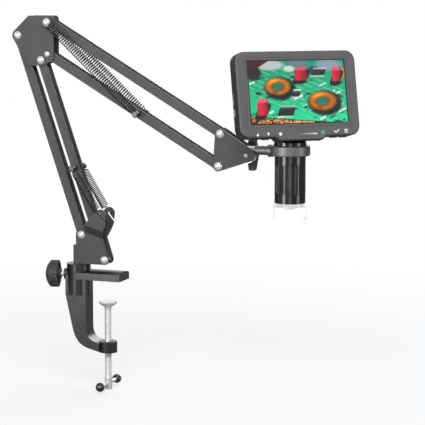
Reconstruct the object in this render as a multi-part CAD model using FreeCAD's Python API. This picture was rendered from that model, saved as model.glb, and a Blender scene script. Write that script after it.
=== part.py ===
import FreeCAD, Part
import math
import os

# Screen microscope on a spring balanced two section arm with a desk clamp.
# All sizes are millimetres.
# X runs from the clamp towards the microscope, Y runs to the back and Z runs up.
# The origin is the middle of the upper jaw's underside, on the axis of the clamp screw.

V = FreeCAD.Vector
Y_AXIS = V(0, 1, 0)
Z_AXIS = V(0, 0, 1)
ORIGIN = V(0, 0, 0)

# Clearances

SHAFT_GAP = 0.06
SIDE_GAP = 0.3
TURN_GAP = 0.3
OPEN_PIVOT_GAP = 0.15

# Desk clamp

JAW_WIDTH = 27.0
JAW_EDGE_HEIGHT = 7.6
JAW_CROWN = 2.4
JAW_END_X = 19.5
SOCKET_X = -34.2
SOCKET_D = 26.0
SOCKET_TOP = 16.5
SOCKET_DEPTH = 34.0
SPINE_WIDTH = 20.0
SPINE_OUTER_X = -46.0
SPINE_INNER_X = -22.0
SPINE_KNEE_Z = -52.0
SPINE_KNEE_X = -38.3
ARM_BELLY_X = -27.5
ARM_BELLY_Z = -72.0
ARM_THROAT_X = -17.5
ARM_THROAT_Z = -65.0
THREAD_BOSS_D = 19.6
THREAD_BOSS_TOP = -68.0
THREAD_BOSS_HEIGHT = 12.0
SCREW_D = 8.0
SCREW_END_Z = -121.0
PAD_FACE_Z = -24.0
PAD_D = 20.0
PAD_HEIGHT = 5.0
PAD_RIM = 1.2
TOMMY_Z = -114.6
TOMMY_D = 4.0
BALL_D = 10.0
BALL_SPACING = 46.0
BALL_SINK = 3.0

# Swivel lock knob

KNOB_Z = 4.3
KNOB_TURN = 14.0
KNOB_REACH = 36.5
KNOB_D = 29.4
KNOB_DOME = 6.0
KNOB_RIM = 8.5
KNOB_HUB_D = 10.6
KNOB_HUB_LENGTH = 2.7
KNOB_BACK_DEPTH = 1.6
KNOB_BACK_D = 24.0
KNOB_NOTCHES = 12
KNOB_NOTCH_D = 5.0
KNOB_NOTCH_SINK = 0.7
KNOB_NOTCH_LENGTH = 4.6
STUD_D = 5.0
STUD_GRIP = 7.0
LUG_D = 12.0
LUG_LENGTH = 2.8

# Turning base

POST_D = 13.0
POST_LENGTH = 27.0
POST_HEAD_T = 2.5
PLATE_T = 1.5
BASE_LEFT_X = -37.9
BASE_WEB_HEIGHT = 20.0
BASE_NECK_X = -34.2
BASE_FLOOR_END = -13.5
BASE_OUTER_X = -28.0
BASE_OUTER_Z = 48.5
BASE_OUTER_R = 6.2
BASE_SHOULDER_X = -4.0
BASE_SHOULDER_Z = 43.6
BASE_SHOULDER_R = 1.6
HOOK_X = -3.9
HOOK_Z = 71.6
HOOK_PLANE = 12.0
HOOK_R = 6.2
HOOK_SLIT = 1.8
HOOK_FOOT_LEFT = -21.9
HOOK_FOOT_LEFT_Z = 60.2
HOOK_FOOT_RIGHT = -0.1
HOOK_FOOT_RIGHT_Z = 54.1
JOG_LEFT_X = -23.6
JOG_LEFT_Z = 51.6
JOG_RIGHT_X = -3.2
JOG_RIGHT_Z = 45.2

# Arm bars and their pivots

ARM_LENGTH = 226.5
LOWER_ANGLE = 108.8
UPPER_ANGLE = -30.3
INNER_OFFSET_X = 27.1
INNER_OFFSET_Z = -26.5
ELBOW_TOP_X = 37.1
ELBOW_TOP_Z = 14.2
UPPER_OFFSET_X = -2.2
UPPER_OFFSET_Z = -34.1
BAR_WIDTH = 9.6
BAR_DEPTH = 10.4
BAR_WALL = 1.2
PIVOT_D = 5.0
RIVET_HEAD_D = 8.8
RIVET_HEAD_H = 2.2
SMALL_HEAD_D = 6.4
SMALL_HEAD_H = 1.6

# Elbow plates, measured from the outer pivot

ELBOW_PIVOT_R = 6.3
ELBOW_INNER_R = 6.0
ELBOW_HEEL_X = 13.5
ELBOW_HEEL_Z = -29.0
ELBOW_HEEL_R = 3.5
ELBOW_RIGHT = 42.7
ELBOW_TOP = 21.3
ELBOW_SLANT_X = 14.5
ELBOW_FOOT_Z = -24.6
ELBOW_CORNER_R = 3.0

# Head plates and tilt knuckle

HEAD_PIVOT_R = 5.5
TILT_X = 28.8
TILT_Z = -21.8
HEAD_TIP_X = 32.3
HEAD_TIP_Z = -21.3
HEAD_TIP_R = 6.5
TILT_BOLT_D = 4.0
TILT_HEAD_D = 4.8
TILT_HEAD_H = 1.6
KNUCKLE_D = 17.0
ROD_D = 9.0
ROD_RISE = 5.3
ROD_START_X = -9.2
SLEEVE_START_X = 8.5
SLEEVE_D = 9.6
WING_LENGTH = 35.5
WING_WIDTH = 12.6
WING_TIP_WIDTH = 6.8
WING_CORNER_R = 1.4
WING_T = 6.4
WING_HUB_D = 12.0
WING_HUB_LENGTH = 9.0
WING_END_T = 1.2
WASHER_D = 11.5
WASHER_T = 2.1

# Balance springs

SPRING_PIN_D = 4.0
SPRING_PIN_HEAD_D = 7.0
SPRING_PIN_HEAD_T = 4.2
SPRING_PIN_ROUND = 0.8
LOWER_PIN_REACH = 104.6
UPPER_PIN_REACH = 122.4
SPRING_D = 9.4
WIRE_D = 1.1
SPRING_GAP = 0.2
SPRING_LEAD = 6.5
HOOK_LEAD = 7.2
HOOK_SEAT = 0.4
HOOK_BEND = 1.3
LEAD_ANGLE = 45
LOWER_TURNS = 20
UPPER_TURNS = 27

# Microscope holder ring

SCOPE_REACH = 46.1
RING_D = 41.5
RING_DROP = 4.1
RING_HEIGHT = 10.4
RING_BOSS_D = 13.0
RING_BOSS_X = -23.5
RING_EDGE = 0.8

# Barrel, with heights measured from the ring's underside

BARREL_D = 32.2
BARREL_STEP_DROP = 9.2
NECK_PROUD = 0.7
NECK_RISE = 15.4
FOCUS_WALL = 4.1
CORE_WALL = 2.5
CORE_DROP = 47.2
FOCUS_DROP = 39.6
FOCUS_GROUPS = 8
FOCUS_GROOVES = 3
FOCUS_GROOVE_D = 1.8
FOCUS_GROOVE_PITCH = 9.0
FOCUS_GROOVE_MARGIN = 0.6
NOSE_DROP = 49.1
SPIGOT_STEP = 1.0
SPIGOT_LENGTH = 4.5
SPIGOT_WALL = 1.6
SHROUD_PROUD = 0.6
SHROUD_WALL = 1.5
SHROUD_DROP = 67.0
LENS_CELL_D = 13.0
LENS_CELL_BORE = 9.0
LENS_CELL_BELOW_SPIGOT = 2.6
LENS_CELL_LENGTH = 26.0
LENS_T = 3.2
LED_BOARD_T = 1.2
LED_COUNT = 8
LED_D = 3.0
LED_FROM_SPIGOT = 3.25
LED_HEIGHT = 1.6

# Screen head

SCREEN_YAW = 41.0
SCREEN_LEAN = 12.0
SCREEN_FORWARD = 11.2
SCREEN_SIDE = 3.7
CASE_RISE = 20.0
DISPLAY_WIDTH = 108.0
DISPLAY_HEIGHT = 64.8
SIDE_BORDER = 13.1
TOP_BORDER = 10.1
BOTTOM_BORDER = 14.1
CASE_DEPTH = 18.0
CASE_WALL = 2.0
CASE_CORNER_R = 10.5
FRONT_ROUND = 2.4
BACK_ROUND = 4.0
BEZEL_DEPTH = 6.0
BULGE_DROP = 3.6
BULGE_X = 0.3
BULGE_HALF = 23.8
BULGE_RAMP = 5.5
WINDOW_MARGIN = 1.0
GLASS_T = 0.9
GLASS_MARGIN = 2.4
PANEL_T = 3.0
PANEL_BORDER = 4.0
BOARD_T = 1.6
BOARD_INSET = 7.0
BATTERY_WIDTH = 62.0
BATTERY_HEIGHT = 38.0
BATTERY_T = 5.0
HUMP_D = 38.0
HUMP_RISE = 79.8
HUMP_WALL = 2.5
HUMP_CAP_R = 6.0
SENSOR_BOARD_SIZE = 20.0
SENSOR_ROOM_D = 29.0
SENSOR_ROOM_HEIGHT = 7.0
SENSOR_STAND = 1.0
SENSOR_CHIP_SIZE = 8.0
SENSOR_CHIP_T = 0.8
KEY_LENGTH = 8.0
KEY_DEPTH = 4.0
KEY_STAND = 1.1
KEY_INSIDE = 2.6
KEY_FROM_FRONT = 9.0
KEY_GAP = 0.3
UP_KEY_X = -49.1
DOWN_KEY_X = -37.2
DOT_KEY_X = -20.2
TICK_KEY_X = 39.3
LIST_KEY_X = 50.1
SLOT_Z = -4.8
SLOT_LENGTH = 12.0
SLOT_HEIGHT = 1.6
PORT_Z = -18.7
PORT_LENGTH = 8.4
PORT_HEIGHT = 3.0
PORT_FROM_FRONT = 12.0
PORT_DEPTH = 6.0
LED_WINDOW_X = 24.2
LED_WINDOW_RISE = 3.9
LED_WINDOW_D = 4.4

# Places worked out from the sizes above

PLATE_IN = BAR_DEPTH / 2 + SIDE_GAP
PLATE_OUT = PLATE_IN + PLATE_T
BASE_BOTTOM = SOCKET_TOP + TURN_GAP
CASE_WIDTH = DISPLAY_WIDTH + 2 * SIDE_BORDER
CASE_TOP = DISPLAY_HEIGHT / 2 + TOP_BORDER
CASE_BOTTOM = -DISPLAY_HEIGHT / 2 - BOTTOM_BORDER
LED_WINDOW_Z = CASE_BOTTOM + LED_WINDOW_RISE


def away(x, z, length, angle):
    """Return the point at a length and angle from a point of the arm's plane."""
    turn = math.radians(angle)
    return x + length * math.cos(turn), z + length * math.sin(turn)


BASE_INNER_X = BASE_OUTER_X + INNER_OFFSET_X
BASE_INNER_Z = BASE_OUTER_Z + INNER_OFFSET_Z
ELBOW_X, ELBOW_Z = away(BASE_OUTER_X, BASE_OUTER_Z, ARM_LENGTH, LOWER_ANGLE)
INNER_X = ELBOW_X + INNER_OFFSET_X
INNER_Z = ELBOW_Z + INNER_OFFSET_Z
TOP_X = ELBOW_X + ELBOW_TOP_X
TOP_Z = ELBOW_Z + ELBOW_TOP_Z
LOW_X = TOP_X + UPPER_OFFSET_X
LOW_Z = TOP_Z + UPPER_OFFSET_Z
HEAD_X, HEAD_Z = away(TOP_X, TOP_Z, ARM_LENGTH, UPPER_ANGLE)
HEAD_LOW_X = HEAD_X + UPPER_OFFSET_X
HEAD_LOW_Z = HEAD_Z + UPPER_OFFSET_Z
TILT_AT_X = HEAD_X + TILT_X
TILT_AT_Z = HEAD_Z + TILT_Z
ROD_Z = TILT_AT_Z + ROD_RISE
LOWER_PIN_X, LOWER_PIN_Z = away(BASE_INNER_X, BASE_INNER_Z, LOWER_PIN_REACH, LOWER_ANGLE)
UPPER_PIN_X, UPPER_PIN_Z = away(LOW_X, LOW_Z, UPPER_PIN_REACH, UPPER_ANGLE)
PIN_HEAD_FACE = HOOK_PLANE + WIRE_D / 2 + SIDE_GAP
WING_Y = PLATE_OUT + WASHER_T + SIDE_GAP
SCOPE_X = TILT_AT_X + SCOPE_REACH
SCOPE = V(SCOPE_X, 0, 0)
RING_BOTTOM = ROD_Z - RING_DROP
RING_TOP = RING_BOTTOM + RING_HEIGHT
NECK_D = BARREL_D + 2 * NECK_PROUD
CORE_D = BARREL_D - 2 * FOCUS_WALL
CORE_BORE = CORE_D - 2 * CORE_WALL
SPIGOT_D = BARREL_D - 2 * SPIGOT_STEP
SPIGOT_BORE = SPIGOT_D - 2 * SPIGOT_WALL
SHROUD_D = BARREL_D + 2 * SHROUD_PROUD
LED_CIRCLE_D = SPIGOT_BORE - 2 * LED_FROM_SPIGOT
BARREL_STEP_Z = RING_BOTTOM - BARREL_STEP_DROP
NECK_TOP = RING_BOTTOM + NECK_RISE
CORE_BOTTOM = RING_BOTTOM - CORE_DROP
FOCUS_BOTTOM = RING_BOTTOM - FOCUS_DROP
NOSE_BOTTOM = RING_BOTTOM - NOSE_DROP
SPIGOT_BOTTOM = NOSE_BOTTOM - SPIGOT_LENGTH
SHROUD_BOTTOM = RING_BOTTOM - SHROUD_DROP
LENS_CELL_BOTTOM = SPIGOT_BOTTOM - LENS_CELL_BELOW_SPIGOT
LENS_CELL_TOP = LENS_CELL_BOTTOM + LENS_CELL_LENGTH
SCREEN_Z = RING_BOTTOM + CASE_RISE + DISPLAY_HEIGHT / 2 + BOTTOM_BORDER
HUMP_TOP = RING_BOTTOM + HUMP_RISE


# Helpers

def rod(diameter, start, end):
    """Return a cylinder between two points."""
    span = end - start
    return Part.makeCylinder(diameter / 2, span.Length, start, span)


def upright(diameter, bottom, top, at=ORIGIN):
    """Return a vertical cylinder."""
    return Part.makeCylinder(diameter / 2, top - bottom, at + V(0, 0, bottom), Z_AXIS)


def block(x0, x1, y0, y1, z0, z1):
    """Return a box between two corners."""
    return Part.makeBox(x1 - x0, y1 - y0, z1 - z0, V(x0, y0, z0))


def spun(points, at=ORIGIN):
    """Return the solid turned about a vertical axis from radius and height pairs."""
    corners = [V(r, 0, z) for r, z in points]
    face = Part.Face(Part.makePolygon(corners + corners[:1]))
    return face.revolve(ORIGIN, Z_AXIS, 360).translated(at)


def belt(circles, y0, y1):
    """Return a plate whose outline runs round circles, listed counterclockwise."""
    count = len(circles)
    normals = []
    for i in range(count):
        x1, z1, r1 = circles[i]
        x2, z2, r2 = circles[(i + 1) % count]
        length = math.hypot(x2 - x1, z2 - z1)
        ahead = math.atan2(z2 - z1, x2 - x1)
        normals.append(ahead - math.pi / 2 + math.asin((r1 - r2) / length))
    edges = []
    for i in range(count):
        x, z, r = circles[i]
        first = normals[i - 1]
        turn = (normals[i] - first) % (2 * math.pi)
        arc = [V(x + r * math.cos(first + turn * s), y0, z + r * math.sin(first + turn * s))
               for s in (0, 0.5, 1)]
        edges.append(Part.Arc(arc[0], arc[1], arc[2]).toShape())
        x2, z2, r2 = circles[(i + 1) % count]
        ahead = V(x2 + r2 * math.cos(normals[i]), y0, z2 + r2 * math.sin(normals[i]))
        edges.append(Part.LineSegment(arc[2], ahead).toShape())
    return Part.Face(Part.Wire(edges)).extrude(V(0, y1 - y0, 0))


def both_sides(make):
    """Return a front and a back copy of a plate made between two depths."""
    return make(-PLATE_OUT, -PLATE_IN), make(PLATE_IN, PLATE_OUT)


def dome(diameter, height, x, z, face, side):
    """Return a domed rivet head on a plate's face, on the front or back side."""
    radius = (diameter ** 2 / 4 + height ** 2) / (2 * height)
    ball = Part.makeSphere(radius, V(x, side * (face + height - radius), z))
    start = V(x, side * face, z)
    return ball.common(rod(diameter, start, start + V(0, side * height * 2, 0)))


def rivet(x, z, head_d=RIVET_HEAD_D, head_h=RIVET_HEAD_H, face=PLATE_OUT):
    """Return a pivot pin through both plates with a domed head at each end."""
    pin = rod(PIVOT_D, V(x, -face, z), V(x, face, z))
    return pin.fuse([dome(head_d, head_h, x, z, face, side) for side in (-1, 1)])


def drilled(shape, x, z, diameter):
    """Return a shape with a hole right through it along Y."""
    past = 2 * PIN_HEAD_FACE
    return shape.cut(rod(diameter, V(x, -past, z), V(x, past, z)))


def outline_edges(shape, depth):
    """Return the edges of a solid that lie in one plane of constant depth."""
    found = []
    for edge in shape.Edges:
        box = edge.BoundBox
        if abs(box.YMin - depth) < 1e-4 and abs(box.YMax - depth) < 1e-4:
            found.append(edge)
    return found


def save(name, *solids):
    """Write one sub-part's solids to its own file."""
    pieces = []
    for solid in solids:
        pieces += solid.Solids
    shape = pieces[0] if len(pieces) == 1 else Part.makeCompound(pieces)
    shape.exportStep("parts/" + name + ".step")


# Desk clamp

def beside_socket(shape):
    """Return a shape turned from the socket's axis to the lock knob's side."""
    return shape.rotated(ORIGIN, Z_AXIS, KNOB_TURN).translated(V(SOCKET_X, 0, KNOB_Z))


def clamp_spine():
    """Return the C shaped spine below the jaw, from its side outline."""
    boss_z = THREAD_BOSS_TOP - THREAD_BOSS_HEIGHT
    start_x = -THREAD_BOSS_D / 3
    outer = [V(SPINE_OUTER_X, 0, JAW_EDGE_HEIGHT / 2), V(SPINE_OUTER_X, 0, -SOCKET_DEPTH / 2),
             V(SPINE_KNEE_X, 0, SPINE_KNEE_Z), V(ARM_BELLY_X, 0, ARM_BELLY_Z),
             V(start_x, 0, boss_z + 1)]
    inner = [V(start_x, 0, THREAD_BOSS_TOP - 1.5), V(ARM_THROAT_X, 0, ARM_THROAT_Z),
             V(SPINE_INNER_X, 0, SPINE_KNEE_Z - 1), V(SPINE_INNER_X, 0, JAW_EDGE_HEIGHT / 2)]
    belly = Part.BSplineCurve()
    belly.interpolate(outer[2:5], InitialTangent=V(2, 0, -10), FinalTangent=V(10, 0, -3))
    throat = Part.BSplineCurve()
    throat.interpolate(inner[0:3], InitialTangent=V(-10, 0, 3), FinalTangent=V(0, 0, 10))
    edges = [Part.LineSegment(outer[0], outer[1]).toShape(),
             Part.LineSegment(outer[1], outer[2]).toShape(),
             belly.toShape(),
             Part.LineSegment(outer[4], inner[0]).toShape(),
             throat.toShape(),
             Part.LineSegment(inner[2], inner[3]).toShape(),
             Part.LineSegment(inner[3], outer[0]).toShape()]
    face = Part.Face(Part.Wire(edges))
    return face.extrude(V(0, SPINE_WIDTH, 0)).translated(V(0, -SPINE_WIDTH / 2, 0))


def clamp_jaw():
    """Return the upper jaw with its crowned top."""
    half = JAW_WIDTH / 2
    low = V(SOCKET_X, -half, 0)
    side = V(SOCKET_X, -half, JAW_EDGE_HEIGHT)
    crown = V(SOCKET_X, 0, JAW_EDGE_HEIGHT + JAW_CROWN)
    far_side = V(SOCKET_X, half, JAW_EDGE_HEIGHT)
    far_low = V(SOCKET_X, half, 0)
    edges = [Part.LineSegment(low, side).toShape(), Part.Arc(side, crown, far_side).toShape(),
             Part.LineSegment(far_side, far_low).toShape(),
             Part.LineSegment(far_low, low).toShape()]
    return Part.Face(Part.Wire(edges)).extrude(V(JAW_END_X - SOCKET_X, 0, 0))


def clamp_frame():
    """Return the cast clamp frame with its socket, jaw, spine and threaded boss."""
    socket_at = V(SOCKET_X, 0, 0)
    socket = upright(SOCKET_D, SOCKET_TOP - SOCKET_DEPTH, SOCKET_TOP, socket_at)
    lug_reach = SOCKET_D / 2 + LUG_LENGTH
    lug = beside_socket(rod(LUG_D, V(-lug_reach, 0, 0), ORIGIN))
    boss_bottom = THREAD_BOSS_TOP - THREAD_BOSS_HEIGHT
    boss = upright(THREAD_BOSS_D, boss_bottom, THREAD_BOSS_TOP)
    frame = socket.fuse([clamp_jaw(), clamp_spine(), lug, boss]).removeSplitter()
    post_hole = upright(POST_D + 2 * SHAFT_GAP, SOCKET_TOP - POST_LENGTH - 1.5, SOCKET_TOP + 1,
                        socket_at)
    stud_hole = beside_socket(rod(STUD_D + 2 * SHAFT_GAP, V(-lug_reach - 1, 0, 0), ORIGIN))
    screw_hole = upright(SCREW_D + 2 * SHAFT_GAP, boss_bottom - 1, THREAD_BOSS_TOP + 6)
    return frame.cut([post_hole, stud_hole, screw_hole])


def pressure_pad():
    """Return the swivelling pressure plate on top of the clamp screw."""
    r = PAD_D / 2
    bottom = PAD_FACE_Z - PAD_HEIGHT
    plate = spun([(0, bottom + 1), (SCREW_D / 2 + 2, bottom), (r - 1, bottom + 2.4),
                  (r, PAD_FACE_Z - PAD_RIM), (r, PAD_FACE_Z), (0, PAD_FACE_Z)])
    pocket = upright(SCREW_D + 2 * SHAFT_GAP, bottom - 1, PAD_FACE_Z - 2)
    return plate.cut(pocket)


def clamp_screw():
    """Return the clamp screw with a round tip and a cross hole."""
    tip = PAD_FACE_Z - 2 - SHAFT_GAP
    r = SCREW_D / 2
    screw = spun([(0, SCREW_END_Z), (r - 0.8, SCREW_END_Z), (r, SCREW_END_Z + 0.8),
                  (r, tip - 1), (r - 1, tip), (0, tip)])
    hole = rod(TOMMY_D + 2 * SHAFT_GAP, V(0, -10, TOMMY_Z), V(0, 10, TOMMY_Z))
    return screw.cut(hole)


def tommy_bar():
    """Return the sliding cross bar."""
    half = BALL_SPACING / 2 - BALL_D / 2 + BALL_SINK
    return rod(TOMMY_D, V(0, -half, TOMMY_Z), V(0, half, TOMMY_Z))


def tommy_balls():
    """Return the two balls, bored for the cross bar."""
    balls = []
    for side in (-1, 1):
        centre = V(0, side * BALL_SPACING / 2, TOMMY_Z)
        inner = centre - V(0, side * BALL_D / 2, 0)
        bore = rod(TOMMY_D, inner - V(0, side, 0), inner + V(0, side * BALL_SINK, 0))
        balls.append(Part.makeSphere(BALL_D / 2, centre).cut(bore))
    return balls


# Swivel lock knob

def lock_knob_cap():
    """Return the domed knob with notches round the back of its rim, and its hub."""
    r = KNOB_D / 2
    back = KNOB_DOME + KNOB_RIM
    ball_r = (r ** 2 + KNOB_DOME ** 2) / (2 * KNOB_DOME)
    ball = Part.makeSphere(ball_r, V(0, 0, ball_r))
    cap = Part.makeCylinder(r, back).common(ball.fuse(Part.makeCylinder(r, back, V(0, 0, KNOB_DOME))))
    hollow = Part.makeCylinder(KNOB_BACK_D / 2, KNOB_BACK_DEPTH + 1, V(0, 0, back - KNOB_BACK_DEPTH))
    notch = Part.makeCylinder(KNOB_NOTCH_D / 2, KNOB_NOTCH_LENGTH + 1,
                              V(r + KNOB_NOTCH_D / 2 - KNOB_NOTCH_SINK, 0, back - KNOB_NOTCH_LENGTH))
    notches = [notch.rotated(ORIGIN, Z_AXIS, 360 * i / KNOB_NOTCHES) for i in range(KNOB_NOTCHES)]
    hub_start = back - KNOB_BACK_DEPTH - 1
    hub = Part.makeCylinder(KNOB_HUB_D / 2, back + KNOB_HUB_LENGTH - hub_start, V(0, 0, hub_start))
    grip = back + KNOB_HUB_LENGTH - STUD_GRIP
    stud_hole = Part.makeCylinder(STUD_D / 2, STUD_GRIP + 1, V(0, 0, grip))
    cap = cap.cut([hollow] + notches).fuse(hub).cut(stud_hole)
    return beside_socket(cap.rotated(ORIGIN, Y_AXIS, 90).translated(V(-KNOB_REACH, 0, 0)))


def lock_knob_stud():
    """Return the knob's stud, which reaches the swivel post."""
    hub_end = -KNOB_REACH + KNOB_DOME + KNOB_RIM + KNOB_HUB_LENGTH
    return beside_socket(rod(STUD_D, V(hub_end - STUD_GRIP, 0, 0),
                             V(-POST_D / 2 - SHAFT_GAP * 2, 0, 0)))


# Turning base

def base_plate(y0, y1):
    """Return one side plate of the turning base."""
    bottom = BASE_BOTTOM
    r = BASE_INNER_Z - bottom
    corner = 1.5
    upper = belt([(BASE_OUTER_X, BASE_OUTER_Z, BASE_OUTER_R),
                  (BASE_NECK_X + corner, bottom + corner, corner),
                  (BASE_INNER_X, BASE_INNER_Z, r),
                  (BASE_SHOULDER_X, BASE_SHOULDER_Z, BASE_SHOULDER_R)], y0, y1)
    flange = block(BASE_LEFT_X + PLATE_T, BASE_NECK_X + 3, y0, y1, bottom, bottom + BASE_WEB_HEIGHT)
    return upper.fuse(flange)


def base_web():
    """Return the left wall and the floor that join the two side plates."""
    bottom = BASE_BOTTOM
    top = bottom + BASE_WEB_HEIGHT
    wall = block(BASE_LEFT_X, BASE_LEFT_X + PLATE_T, -PLATE_OUT + PLATE_T, PLATE_OUT - PLATE_T,
                 bottom, top)
    bends = []
    for side in (-1, 1):
        centre = V(BASE_LEFT_X + PLATE_T, side * PLATE_IN, bottom)
        bend = Part.makeCylinder(PLATE_T, BASE_WEB_HEIGHT, centre, Z_AXIS)
        y0 = min(side * PLATE_IN, side * PLATE_OUT)
        bends.append(bend.common(block(BASE_LEFT_X, BASE_LEFT_X + PLATE_T, y0, y0 + PLATE_T,
                                       bottom, top)))
    floor = block(BASE_LEFT_X, BASE_FLOOR_END, -PLATE_IN, PLATE_IN, bottom, bottom + PLATE_T)
    return [wall, floor] + bends


def jog(side):
    """Return the bend that carries a hook plate outside its side plate."""
    def strip(x0, z0, x1, z1, y0, y1):
        corners = [V(x0, side * y0, z0), V(x1, side * y0, z1), V(x1, side * y1, z1),
                   V(x0, side * y1, z0)]
        return Part.makePolygon(corners + corners[:1])
    low = strip(JOG_LEFT_X, JOG_LEFT_Z, JOG_RIGHT_X, JOG_RIGHT_Z, PLATE_IN, PLATE_OUT)
    high = strip(HOOK_FOOT_LEFT, HOOK_FOOT_LEFT_Z, HOOK_FOOT_RIGHT, HOOK_FOOT_RIGHT_Z,
                 HOOK_PLANE - PLATE_T / 2, HOOK_PLANE + PLATE_T / 2)
    return Part.makeLoft([low, high], True, True)


def hook_plate(side):
    """Return one hook plate, with the slit that takes the spring's end."""
    y0 = side * HOOK_PLANE - PLATE_T / 2
    y1 = y0 + PLATE_T
    plate = belt([(HOOK_X + 1.2, HOOK_Z, HOOK_R),
                  (HOOK_FOOT_LEFT + 0.5, HOOK_FOOT_LEFT_Z + 0.5, 0.5),
                  (HOOK_FOOT_RIGHT - 0.5, HOOK_FOOT_RIGHT_Z + 0.5, 0.5),
                  (HOOK_FOOT_RIGHT + 1.6, HOOK_FOOT_RIGHT_Z + 6.5, 1.0)], y0, y1)
    slit = block(0, 30, y0 - 1, y1 + 1, -HOOK_SLIT / 2, HOOK_SLIT / 2)
    seat_z = HOOK_SLIT * 0.25
    slit = slit.fuse(rod(HOOK_SLIT * 1.5, V(0, y0 - 1, seat_z), V(0, y1 + 1, seat_z)))
    slit = slit.rotated(ORIGIN, Y_AXIS, 51).translated(V(HOOK_X, 0, HOOK_Z))
    return plate.cut(slit)


def base_bracket():
    """Return the folded sheet base with its two spring hooks."""
    plates = list(both_sides(base_plate))
    pieces = plates[1:] + base_web()
    for side in (-1, 1):
        pieces += [jog(side), hook_plate(side)]
    bracket = plates[0].fuse(pieces).removeSplitter()
    bracket = drilled(bracket, BASE_OUTER_X, BASE_OUTER_Z, PIVOT_D)
    return drilled(bracket, BASE_INNER_X, BASE_INNER_Z, PIVOT_D)


def swivel_post():
    """Return the post that turns in the clamp's socket, riveted to the floor."""
    at = V(SOCKET_X, 0, 0)
    post = upright(POST_D, SOCKET_TOP - POST_LENGTH, BASE_BOTTOM, at)
    head = upright(PLATE_IN * 2 - 1, BASE_BOTTOM + PLATE_T, BASE_BOTTOM + PLATE_T + POST_HEAD_T, at)
    head = head.common(block(BASE_LEFT_X + PLATE_T + 0.2, 0, -PLATE_IN, PLATE_IN, BASE_BOTTOM,
                             BASE_BOTTOM + BASE_WEB_HEIGHT))
    return post, head


# Arm bars

def channel(x, z, angle, open_side):
    """Return one channel bar from a pivot, open to one side of its length."""
    half = BAR_WIDTH / 2
    deep = BAR_DEPTH / 2
    sides = []
    for y0 in (-deep, deep - BAR_WALL):
        sides.append(belt([(0, 0, half), (ARM_LENGTH, 0, half)], y0, y0 + BAR_WALL))
    web_z = -open_side * half
    web = block(half * 1.3, ARM_LENGTH - half * 1.3, -deep, deep,
                min(web_z, web_z + open_side * BAR_WALL), max(web_z, web_z + open_side * BAR_WALL))
    bar = sides[0].fuse([sides[1], web]).removeSplitter()
    return bar.rotated(ORIGIN, Y_AXIS, -angle).translated(V(x, 0, z))


def lower_bar(x, z, far_gap):
    """Return a lower bar whose far pivot has the given clearance."""
    bar = channel(x, z, LOWER_ANGLE, -1)
    far_x, far_z = away(x, z, ARM_LENGTH, LOWER_ANGLE)
    bar = drilled(bar, x, z, PIVOT_D + 2 * SHAFT_GAP)
    return drilled(bar, far_x, far_z, PIVOT_D + 2 * far_gap)


def upper_bar(x, z, far_gap):
    """Return an upper bar whose far pivot has the given clearance."""
    bar = channel(x, z, UPPER_ANGLE, 1)
    far_x, far_z = away(x, z, ARM_LENGTH, UPPER_ANGLE)
    bar = drilled(bar, x, z, PIVOT_D + 2 * SHAFT_GAP)
    return drilled(bar, far_x, far_z, PIVOT_D + 2 * far_gap)


def spring_pin(x, z, angle):
    """Return the cross pin with a round head at each end."""
    end = PIN_HEAD_FACE + SPRING_PIN_HEAD_T
    pin = rod(SPRING_PIN_D, V(0, -end + 1, 0), V(0, end - 1, 0))
    heads = []
    for side in (-1, 1):
        head = rod(SPRING_PIN_HEAD_D, V(0, side * PIN_HEAD_FACE, 0), V(0, side * end, 0))
        heads.append(head.makeFillet(SPRING_PIN_ROUND, outline_edges(head, side * end)))
    return pin.fuse(heads).rotated(ORIGIN, Y_AXIS, -angle).translated(V(x, 0, z))


# Elbow

def elbow_plate(y0, y1):
    """Return one elbow plate."""
    r = ELBOW_CORNER_R
    x, z = ELBOW_X, ELBOW_Z
    return belt([(x, z, ELBOW_PIVOT_R),
                 (x + ELBOW_HEEL_X, z + ELBOW_HEEL_Z, ELBOW_HEEL_R),
                 (x + INNER_OFFSET_X, z + INNER_OFFSET_Z, ELBOW_INNER_R),
                 (x + ELBOW_RIGHT - r, z + ELBOW_FOOT_Z, r),
                 (x + ELBOW_RIGHT - r, z + ELBOW_TOP - r, r),
                 (x + ELBOW_SLANT_X, z + ELBOW_TOP - r, r)], y0, y1)


def elbow_plates():
    """Return the front and back elbow plates with their four pivot holes."""
    plates = []
    for plate in both_sides(elbow_plate):
        for x, z in ((ELBOW_X, ELBOW_Z), (INNER_X, INNER_Z), (TOP_X, TOP_Z), (LOW_X, LOW_Z)):
            plate = drilled(plate, x, z, PIVOT_D)
        plates.append(plate)
    return plates


def elbow_spring_pin():
    """Return the long pivot pin that also holds the upper springs."""
    return rivet(TOP_X, TOP_Z, face=PIN_HEAD_FACE)


# Head bracket and tilt knuckle

def head_plate(y0, y1):
    """Return one head plate."""
    plate = belt([(HEAD_X, HEAD_Z, HEAD_PIVOT_R),
                  (HEAD_LOW_X, HEAD_LOW_Z, HEAD_PIVOT_R),
                  (HEAD_X + HEAD_TIP_X, HEAD_Z + HEAD_TIP_Z, HEAD_TIP_R)], y0, y1)
    return plate


def head_plates():
    """Return the front and back head plates with their holes."""
    plates = []
    for plate in both_sides(head_plate):
        plate = drilled(plate, HEAD_X, HEAD_Z, PIVOT_D)
        plate = drilled(plate, HEAD_LOW_X, HEAD_LOW_Z, PIVOT_D)
        plates.append(drilled(plate, TILT_AT_X, TILT_AT_Z, TILT_BOLT_D))
    return plates


def tilt_bolt():
    """Return the bolt through the tilt knuckle, with its domed head in front."""
    end = WING_Y + WING_HUB_LENGTH - WING_END_T - SIDE_GAP
    bolt = rod(TILT_BOLT_D, V(TILT_AT_X, -PLATE_OUT, TILT_AT_Z), V(TILT_AT_X, end, TILT_AT_Z))
    head = dome(TILT_HEAD_D, TILT_HEAD_H, TILT_AT_X, TILT_AT_Z, PLATE_OUT, -1)
    return bolt.fuse(head)


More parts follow.
